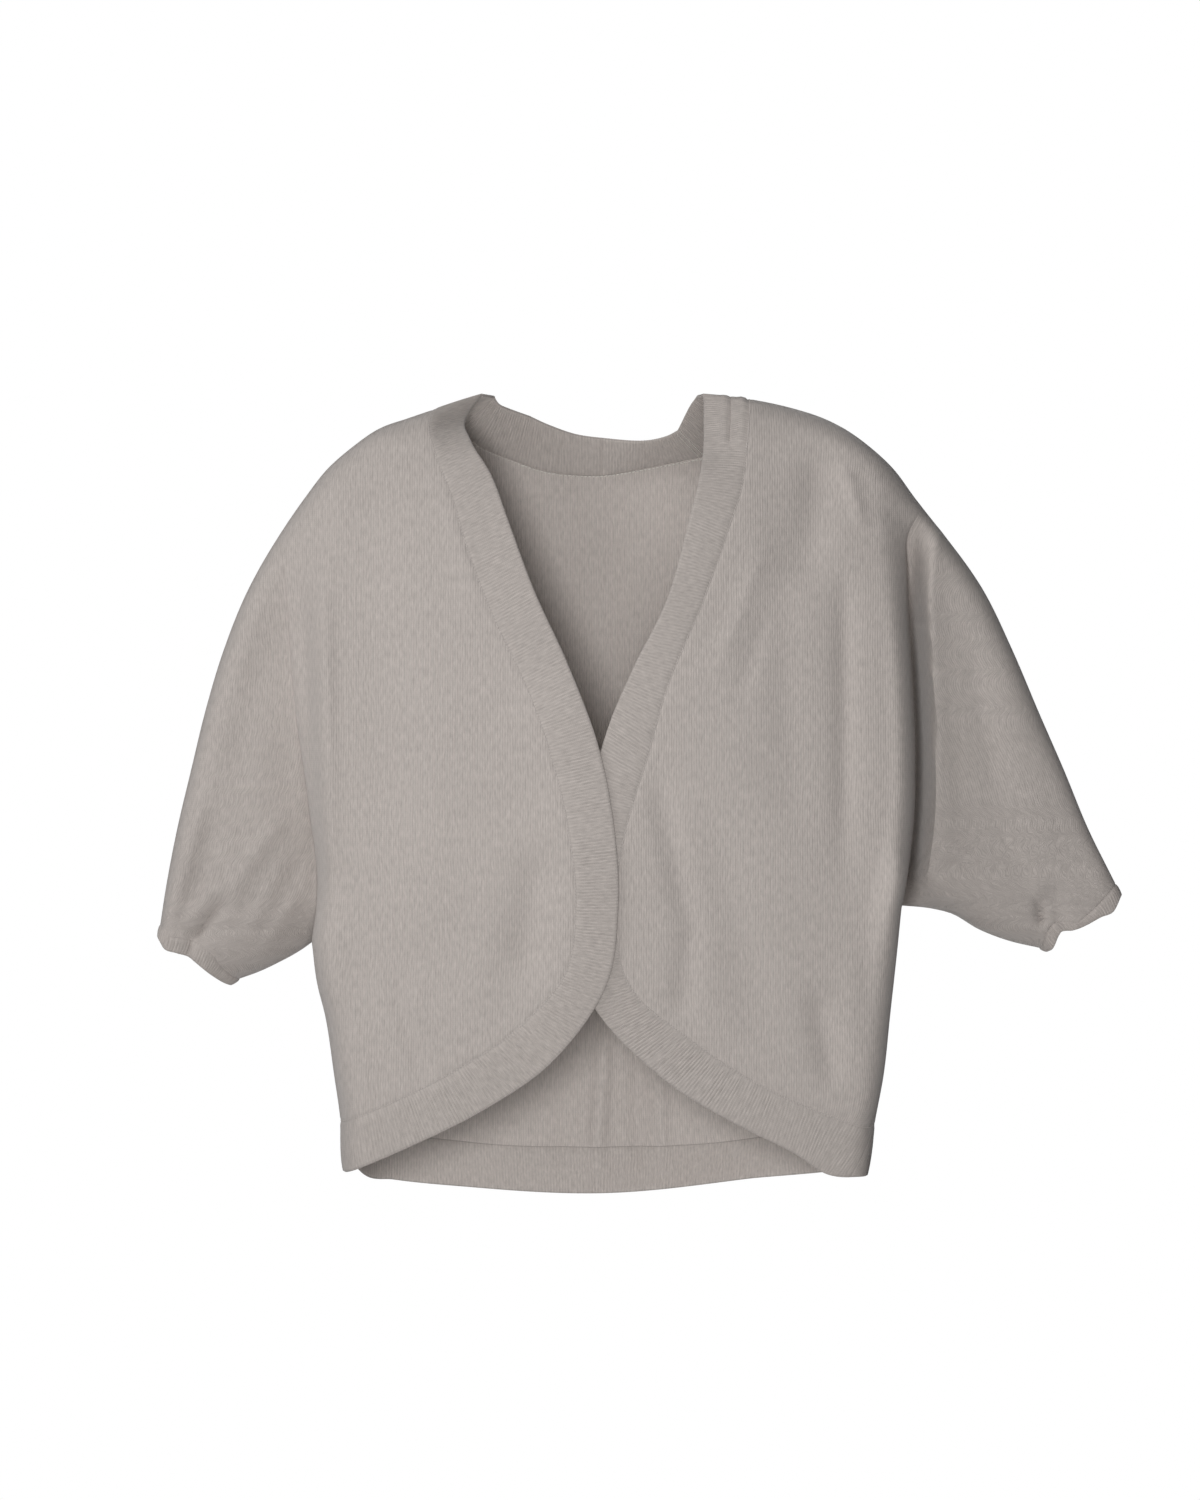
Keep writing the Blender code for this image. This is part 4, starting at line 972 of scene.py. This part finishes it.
def pleats(sheet, points):
    """Soft pleats of the left band in front of the shoulder."""
    z = points[..., 2]
    front = points[..., 1] < PLEAT_Y
    relief = np.zeros(z.shape)
    for place, width, height, z_low, z_high in PLEATS:
        fade = ease((z - z_low) / PLEAT_FADE) * ease((z_high - z) / PLEAT_FADE)
        relief += height * np.exp(-(((ACROSS[:, None] - place) / width) ** 2)) * fade * front
    sheet.relief = sheet.relief + relief.ravel()


def neck_points(shares):
    """Points of the neck band at shares of its length, from the seam to the free edge."""
    rows = Curve(NECK, "seam_x seam_z edge_x edge_z edge_y").at(shares)
    across = ACROSS[:, None, None]
    seam = both_sides(rows[:, 0], rows[:, 1], BACK)
    edge = np.stack([rows[:, 2], rows[:, 4], rows[:, 3]], axis=1)
    return seam * (1 - across) + edge * across


def neck_band():
    """The ribbed band of the back neck, with a join at its middle."""
    shares, along = even_stations(neck_points, dense_shares())
    points = neck_points(shares)
    sheet = ribbed(points, along, True)
    join = np.exp(-(((points[..., 0] - NECK_JOIN_X) / SEAM_WIDTH) ** 2))
    sheet.relief = sheet.relief * (1 - join.ravel()) - SEAM_GROOVE * join.ravel()
    return sheet


def hem_points(shares):
    """Points of the hem band at shares of its width across the back, from the seam to the lower edge."""
    curve = Curve(HEM, "seam_x seam_z edge_x edge_z")
    start, end = HEM["seam_x"][0], HEM["seam_x"][-1]
    rows = curve.at(curve.where(0, start + (end - start) * shares))
    x, z = across_strip(rows)
    x = to_edge(x, z, "right", shares == 0, ease((1 - shares - END_FROM) / (1 - END_FROM)))
    x = to_edge(x, z, "left", shares == 1, ease((shares - END_FROM) / (1 - END_FROM)))
    points = both_sides(x, z, BACK)
    points[:, (shares == 0) | (shares == 1), 1] = 0
    return swing(points, BACK)


def hem_band():
    """The ribbed band of the back hem, from side seam to side seam."""
    shares = dense_shares(0.0)
    shares = np.unique(np.concatenate([shares, 1 - shares]))
    shares, along = even_stations(hem_points, shares)
    return ribbed(hem_points(shares), along, False)


def cuff_points(side, turn_share):
    """Points of a cuff, by share round it: the front half from the underarm to the overarm, then the back."""
    inner = np.array([UNDERARM[side]["x"][-1] * SIGN[side], UNDERARM[side]["z"][-1]])
    outer = np.array([OVERARM[side]["x"][-1] * SIGN[side], OVERARM[side]["z"][-1]])
    share = 1 - np.abs(1 - 2 * turn_share)
    wave = CUFF_WAVE[side]
    x = inner[0] + (outer[0] - inner[0]) * share
    z = inner[1] + (outer[1] - inner[1]) * share + smooth(wave, "seam", share, "share")
    ahead = turn_share < 0.5
    seam = np.where(ahead[:, None], face(x, z, side, FRONT), face(x, z, side, BACK))
    at_fold = (share == 0) | (share == 1)
    seam[:, 1] = np.where(at_fold, lean(x, z, side), seam[:, 1])
    end = CUFF_END[side]
    low_inner = np.array([end["under"][0] * SIGN[side], end["under"][1]])
    low_outer = np.array([end["over"][0] * SIGN[side], end["over"][1]])
    move = (low_inner - inner) * (1 - share[:, None]) + (low_outer - outer) * share[:, None]
    move[:, 1] += smooth(wave, "edge", share, "share") - smooth(wave, "seam", share, "share")
    move = np.stack([move[:, 0], np.zeros(len(move)), move[:, 1]], axis=1)
    return seam + move * ACROSS[:, None, None]


def cuff(side):
    """A ribbed cuff, a closed ring below the sleeve's two halves."""
    shares = dense_shares(0.5)
    shares = np.unique(np.concatenate([shares, (shares + 0.5) % 1, [1.0]]))
    shares, along = even_stations(lambda s: cuff_points(side, s), shares)
    return ribbed(cuff_points(side, shares), along, side == "left", ring=True)


def seam_dip(sheet, lines):
    """Lets a panel dip where it is sewn to its bands, by the distance in the front view."""
    x, z = sheet.points[:, 0], sheet.points[:, 2]
    dip = np.zeros(len(x))
    for line in lines:
        away, _ = nearest(x, z, line)
        dip = np.maximum(dip, np.exp(-((away / SEAM_WIDTH) ** 2)))
    sheet.relief = -SEAM_GROOVE * dip


def point_normals(sheets):
    """A normal for every point of these sheets, shared where their points meet."""
    points = np.concatenate([sheet.points for sheet in sheets])
    first = np.cumsum([0] + [len(sheet.points) for sheet in sheets])
    quads = np.concatenate([sheet.quads + start for sheet, start in zip(sheets, first)])
    corners = points[quads]
    normal = np.cross(corners[:, 2] - corners[:, 0], corners[:, 3] - corners[:, 1])
    place = np.unique(np.round(points, SAME_PLACE), axis=0, return_inverse=True)[1].ravel()
    total = np.zeros((place.max() + 1, 3))
    for k in range(4):
        np.add.at(total, place[quads[:, k]], normal)
    normals = unit(total[place])
    for sheet, start, end in zip(sheets, first[:-1], first[1:]):
        sheet.normals = normals[start:end]


def open_edges(quads):
    """The edges that only one quad has, in that quad's direction."""
    edges = np.concatenate([quads[:, [k, (k + 1) % 4]] for k in range(4)])
    edges = edges[edges[:, 0] != edges[:, 1]]
    count = quads.max() + 1
    code, twin = edges[:, 0] * count + edges[:, 1], edges[:, 1] * count + edges[:, 0]
    return edges[~np.isin(code, twin)]


def piece_of(name, points, faces, materials):
    """A smooth mesh from points in millimetres, as a piece that rides on the body."""
    mesh = bpy.data.meshes.new(name)
    mesh.from_pydata((points * MM).tolist(), [], faces)
    mesh.shade_smooth()
    for material in materials:
        mesh.materials.append(material)
    made = bpy.data.objects.new(name, mesh)
    bpy.context.scene.collection.objects.link(made)
    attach(made, "root")
    return made


def shell(name, sheet, thickness, materials, node):
    """A closed wall from an open sheet, with rounded edges, that stands for a node of the frame.

    The first material is for the outer face and the edges, the second for the inner face."""
    points, normals = sheet.points, sheet.normals
    outer = points + normals * sheet.relief[:, None]
    inner = points - normals * (thickness + sheet.relief[:, None])
    edges = open_edges(sheet.quads)
    outward = np.zeros_like(points)
    for k in range(2):
        side = np.cross(points[edges[:, 1]] - points[edges[:, 0]], normals[edges[:, k]])
        np.add.at(outward, edges[:, k], unit(side))
    ring = np.unique(edges)
    middle = (outer[ring] + inner[ring]) / 2 + unit(outward[ring]) * thickness * EDGE_ROUND
    count = len(points)
    middle_of = np.full(count, -1)
    middle_of[ring] = 2 * count + np.arange(len(ring))
    start, end = edges[:, 0], edges[:, 1]
    upper = np.stack([end, start, middle_of[start], middle_of[end]], axis=1)
    lower = np.stack([middle_of[end], middle_of[start], start + count, end + count], axis=1)
    faces = np.concatenate([sheet.quads, sheet.quads[:, ::-1] + count, upper, lower])
    corner_knit = np.zeros((len(points), 2))
    corner_knit[sheet.quads.ravel()] = sheet.knit.reshape(-1, 2)
    edge_knit = corner_knit[np.stack([end, start, start, end], axis=1)]
    knit = np.concatenate([sheet.knit, sheet.knit[:, ::-1], edge_knit, edge_knit])
    same = faces == np.roll(faces, 1, axis=1)
    rings = [face_[~double].tolist() for face_, double in zip(faces, same)]
    made = piece_of(name, np.concatenate([outer, inner, middle]), rings, materials)
    uv = made.data.uv_layers.new(name="knit")
    uv.data.foreach_set("uv", knit[~same].ravel())
    made.data.set_sharp_from_angle(angle=SHARP_EDGE)
    inside = np.zeros(len(rings), int)
    inside[len(sheet.quads) : 2 * len(sheet.quads)] = 1
    made.data.polygons.foreach_set("material_index", inside)
    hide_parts(node)
    return made


def bead():
    """Points and faces of one stitch, 1 long, 1 wide and 1 high, lying along x."""
    turns = np.linspace(0, 2 * np.pi, BEAD_SIDES, endpoint=False)
    points = [(-0.5, 0, 0)]
    for at, size in BEAD_RINGS:
        points += [(at, 0.5 * size * np.cos(t), 0.5 * size * np.sin(t)) for t in turns]
    points.append((0.5, 0, 0))
    faces = []
    n = BEAD_SIDES
    for k in range(n):
        after = (k + 1) % n
        faces.append((0, 1 + after, 1 + k))
        for ring in range(2):
            a, b = 1 + ring * n, 1 + (ring + 1) * n
            faces.append((a + k, a + after, b + after, b + k))
        faces.append((1 + 2 * n + k, 1 + 2 * n + after, 1 + 3 * n))
    return np.array(points), faces


def between_points(along, length, rows):
    """Rows of numbers at lengths along a line, from those at its points."""
    return np.stack([np.interp(along, length, column) for column in rows.T], axis=1)


def stitches(name, runs, material):
    """Rows of small stitches. Each run is a line of points, their normals, the pitch, the size and the slant."""
    shape, shape_faces = bead()
    points, faces = [], []
    for line, normals, pitch, (long, wide, high), slant in runs:
        length = lengths(line)
        count = max(int(length[-1] / pitch), 1)
        along = (np.arange(count) + 0.5) * length[-1] / count
        centre, up = between_points(along, length, line), between_points(along, length, normals)
        tangent = between_points(along + 0.5, length, line) - between_points(along - 0.5, length, line)
        tangent = unit(tangent)
        side = unit(np.cross(up, tangent))
        up = np.cross(tangent, side)
        turned = tangent * np.cos(slant) + side * np.sin(slant)
        side = side * np.cos(slant) - tangent * np.sin(slant)
        for k in range(count):
            size = 1 + STITCH_UNEVEN * np.sin(k * STITCH_TURN + len(points))
            first = len(points) * len(shape)
            points.append(
                centre[k]
                + shape[:, :1] * long * size * turned[k]
                + shape[:, 1:2] * wide * side[k]
                + shape[:, 2:] * high * up[k]
            )
            faces += [[v + first for v in f] for f in shape_faces]
    return piece_of(name, np.concatenate(points), faces, [material])


class Nodes:
    """Small helpers for building a material's nodes."""

    def __init__(self, name):
        self.material = bpy.data.materials.new(name)
        self.material.use_nodes = True
        self.tree = self.material.node_tree
        self.shader = self.tree.nodes["Principled BSDF"]

    def make(self, kind, **settings):
        node = self.tree.nodes.new(kind)
        for key, value in settings.items():
            setattr(node, key, value)
        return node

    def link(self, source, target):
        self.tree.links.new(source, target)

    def math(self, operation, first, second=None, third=None):
        node = self.make("ShaderNodeMath", operation=operation)
        for socket, value in zip(node.inputs, (first, second, third)):
            if value is None:
                continue
            if isinstance(value, (int, float)):
                socket.default_value = value
            else:
                self.link(value, socket)
        return node.outputs[0]

    def noise(self, scale, detail=2.0, rough=0.5, place=None):
        """Noise over the object, or over the places that are given."""
        if place is None:
            place = self.make("ShaderNodeTexCoord").outputs["Object"]
        node = self.make("ShaderNodeTexNoise")
        node.inputs["Scale"].default_value = scale
        node.inputs["Detail"].default_value = detail
        node.inputs["Roughness"].default_value = rough
        self.link(place, node.inputs["Vector"])
        return node.outputs["Fac"]

    def around(self, value, share):
        """A noise as so much to each side of 0."""
        return self.math("MULTIPLY", self.math("SUBTRACT", value, 0.5), share)

    def bump(self, height, strength, distance_mm, below=None):
        """The normal of a relief, over another one where that is given."""
        node = self.make("ShaderNodeBump")
        node.inputs["Strength"].default_value = strength
        node.inputs["Distance"].default_value = distance_mm * MM
        self.link(height, node.inputs["Height"])
        if below is not None:
            self.link(below, node.inputs["Normal"])
        return node.outputs["Normal"]

    def centred(self, value):
        """From 0 in the middle of each unit of a value to 1 at its ends."""
        part = self.math("FRACT", value)
        return self.math("MULTIPLY", self.math("ABSOLUTE", self.math("SUBTRACT", part, 0.5)), 2.0)


def yarn(name, colour, wale, course, depth_mm):
    """A matt knit: columns of V stitches, a little fuzz and a slightly mottled yarn."""
    nodes = Nodes(name)
    for socket, value in YARN_SHADER.items():
        nodes.shader.inputs[socket].default_value = value
    uv = nodes.make("ShaderNodeUVMap", uv_map="knit").outputs["UV"]
    split = nodes.make("ShaderNodeSeparateXYZ")
    nodes.link(uv, split.inputs[0])
    wander = nodes.around(nodes.noise(WANDER_SCALE), WANDER)
    across = nodes.math("MULTIPLY", nodes.math("ADD", split.outputs[0], wander), 1 / wale)
    along = nodes.math("MULTIPLY", split.outputs[1], 1 / course)
    column = nodes.centred(across)
    hump = nodes.math("SUBTRACT", 1.0, nodes.math("MULTIPLY", column, column))
    slanted = nodes.math("ADD", along, nodes.math("MULTIPLY", column, SLANT))
    loop = nodes.centred(slanted)
    loop = nodes.math("SUBTRACT", 1.0, nodes.math("MULTIPLY", loop, loop))
    stitch = nodes.math("MULTIPLY", hump, nodes.math("ADD", nodes.math("MULTIPLY", loop, LOOP), PLAIN_HEIGHT))
    height = nodes.math("ADD", stitch, nodes.math("MULTIPLY", nodes.noise(*FUZZ_NOISE), FUZZ))
    cockled = nodes.bump(nodes.noise(*COCKLE_NOISE), COCKLE_BUMP, COCKLE)
    nodes.link(nodes.bump(height, STITCH_BUMP, depth_mm, cockled), nodes.shader.inputs["Normal"])
    streak = nodes.make("ShaderNodeMapping")
    streak.inputs["Scale"].default_value = STREAK
    nodes.link(uv, streak.inputs["Vector"])
    mottle = nodes.around(nodes.noise(*YARN_NOISE, streak.outputs["Vector"]), MOTTLE)
    broad = nodes.around(nodes.noise(BROAD_SCALE), BROAD)
    between = nodes.around(stitch, BETWEEN)
    level = nodes.math("ADD", nodes.math("ADD", mottle, broad), nodes.math("ADD", between, 0.5))
    ramp = nodes.make("ShaderNodeValToRGB")
    ramp.color_ramp.elements[0].color = (*[c * DARKEST for c in colour], 1)
    ramp.color_ramp.elements[1].color = (*[min(c * LIGHTEST, 1) for c in colour], 1)
    nodes.link(level, ramp.inputs["Fac"])
    nodes.link(ramp.outputs["Color"], nodes.shader.inputs["Base Color"])
    return nodes.material


def plain(name, colour, rough=0.9):
    """A matt material of one colour, for the floor."""
    material = bpy.data.materials.new(name)
    material.use_nodes = True
    shader = material.node_tree.nodes["Principled BSDF"]
    shader.inputs["Base Color"].default_value = (*colour, 1)
    shader.inputs["Roughness"].default_value = rough
    return material


def light(name, place, size, power):
    """A round lamp that points at the middle and doesn't show itself."""
    lamp = bpy.data.lights.new(name, "AREA")
    lamp.shape = "DISK"
    lamp.size = size
    lamp.energy = power
    made = bpy.data.objects.new(name, lamp)
    made.location = place
    made.rotation_euler = (Vector(MIDDLE) - Vector(place)).to_track_quat("-Z", "Y").to_euler()
    made.visible_camera = False
    bpy.context.scene.collection.objects.link(made)


def studio():
    """White light all round that is stronger from the left, four lamps, a pale floor and the camera."""
    scene = bpy.context.scene
    world = bpy.data.worlds.new("studio")
    scene.world = world
    world.use_nodes = True
    tree = world.node_tree
    background = tree.nodes["Background"]
    background.inputs["Color"].default_value = (1, 1, 1, 1)
    ray = tree.nodes.new("ShaderNodeLightPath")
    seen = tree.nodes.new("ShaderNodeMapRange")
    seen.inputs["To Max"].default_value = 1.0
    direction = tree.nodes.new("ShaderNodeTexCoord")
    split = tree.nodes.new("ShaderNodeSeparateXYZ")
    across = tree.nodes.new("ShaderNodeMapRange")
    across.inputs["From Min"].default_value = -1.0
    across.inputs["To Min"].default_value = FILL * (1 + FILL_LEFT)
    across.inputs["To Max"].default_value = FILL * (1 - FILL_LEFT)
    tree.links.new(direction.outputs["Generated"], split.inputs[0])
    tree.links.new(split.outputs[0], across.inputs["Value"])
    tree.links.new(across.outputs["Result"], seen.inputs["To Min"])
    tree.links.new(ray.outputs["Is Camera Ray"], seen.inputs["Value"])
    tree.links.new(seen.outputs["Result"], background.inputs["Strength"])
    for name, (place, size, power) in LAMPS.items():
        light(name, place, size, power)
    bpy.ops.mesh.primitive_plane_add(size=FLOOR_SIZE, location=(0, 0, FLOOR_Z))
    floor = bpy.context.active_object
    floor.name = "floor"
    floor.data.materials.append(plain("floor_pale", FLOOR_COLOUR))
    camera = bpy.data.cameras.new("camera")
    camera.sensor_width = SENSOR_MM
    camera.lens = LENS_MM
    made = bpy.data.objects.new("camera", camera)
    made.location = CAMERA_PLACE
    made.rotation_euler = CAMERA_TURN
    scene.collection.objects.link(made)
    scene.camera = made
    scene.view_settings.view_transform = "Standard"


def cloth(name, colour, pitch, deep):
    """The materials of a cloth's outer and inner face; the inner face's colour is made lighter, as painted
    light.
    """
    # painted light: the inner face's colour is raised to stand for light coming through the cloth
    painted_light_colour = [c * INNER_PAINTED_LIGHT for c in colour]
    return (
        yarn(name, colour, pitch, COURSE_PITCH, deep),
        yarn(f"{name}_inside", painted_light_colour, pitch, COURSE_PITCH, deep),
    )


jersey = cloth("greige_jersey", GREIGE, WALE_PITCH, JERSEY_DEPTH)
rib = cloth("greige_rib", RIB_GREIGE, RIB_PITCH, RIB_DEPTH)
thread = yarn("linking_yarn", THREAD, THREAD_WALE, THREAD_COURSE, THREAD_DEPTH)
neck_thread = yarn("linking_yarn_neck", NECK_THREAD, THREAD_WALE, THREAD_COURSE, THREAD_DEPTH)

panels = {"front_right": front_panel("right"), "front_left": front_panel("left"), "back": back_panel()}
strips = {f"band_{side}": front_band(side) for side in SIGN}
strips["neck_band"] = neck_band()
strips["hem_band"] = hem_band()
cuffs = {f"cuff_{side}": cuff(side) for side in SIGN}
for side in SIGN:
    seam_dip(panels[f"front_{side}"], [Curve(BAND[side], "seam_x seam_z").fine])
tails = [Curve(BAND[side], "seam_x seam_z").fine[: SHOULDER_ROW * Curve.FINE + 1] for side in SIGN]
seam_dip(panels["back"], [Curve(NECK, "seam_x seam_z").fine, Curve(HEM, "seam_x seam_z").fine, *tails])
back = panels["back"]
on_line = np.exp(-(((back.points[:, 0] - CENTRE_X) / CENTRE_WIDTH) ** 2))
back.relief = back.relief - CENTRE_GROOVE * on_line * ease((back.points[:, 2] - CENTRE_END) / CENTRE_FADE)
point_normals(list(panels.values()))
point_normals(list(strips.values()))
for sheet in cuffs.values():
    point_normals([sheet])

for name, sheet in panels.items():
    shell(f"{name}_jersey", sheet, JERSEY, jersey, name)
for name, sheet in {**strips, **cuffs}.items():
    shell(f"{name}_rib", sheet, RIB, rib, name)


def seam_run(sheet, lift, pitch, size, first=0.0, last=1.0, slant=0.0, inside=0.0, row="seam"):
    """A row of stitches along a strip's seam, over a share of it, on its outer or its inner face."""
    index = sheet.marks[row]
    index = index[int(first * len(index)) : int(last * len(index))]
    normals = sheet.normals[index]
    line = sheet.points[index] + normals * lift
    if inside:
        line = sheet.points[index] - normals * (inside + lift)
        normals = -normals
    return line, normals, pitch, size, slant


def linking(name, sheet):
    """The stitches of a strip's outer seam."""
    return stitches(name, [seam_run(sheet, **OUTER_SEAM)], thread)


for side in SIGN:
    piece = linking(f"linking_{side}", strips[f"band_{side}"])
piece = linking("linking_hem", strips["hem_band"])
piece = linking("linking_neck", strips["neck_band"])
neck, right, left = strips["neck_band"], strips["band_right"], strips["band_left"]
chain = stitches(
    "linking_neck_inside",
    [
        seam_run(neck, **NECK_CHAIN),
        seam_run(neck, last=KNOT_END, **KNOT),
        seam_run(neck, first=1 - KNOT_END, **KNOT),
        seam_run(neck, row="end", **CROSS_SEAM),
        seam_run(left, row="start", **CROSS_SEAM),
        seam_run(right, last=TAIL_END, **TAIL_SEAM),
        seam_run(left, last=TAIL_END, **TAIL_SEAM),
    ],
    neck_thread,
)
for side in SIGN:
    piece = linking(f"linking_cuff_{side}", cuffs[f"cuff_{side}"])

studio()
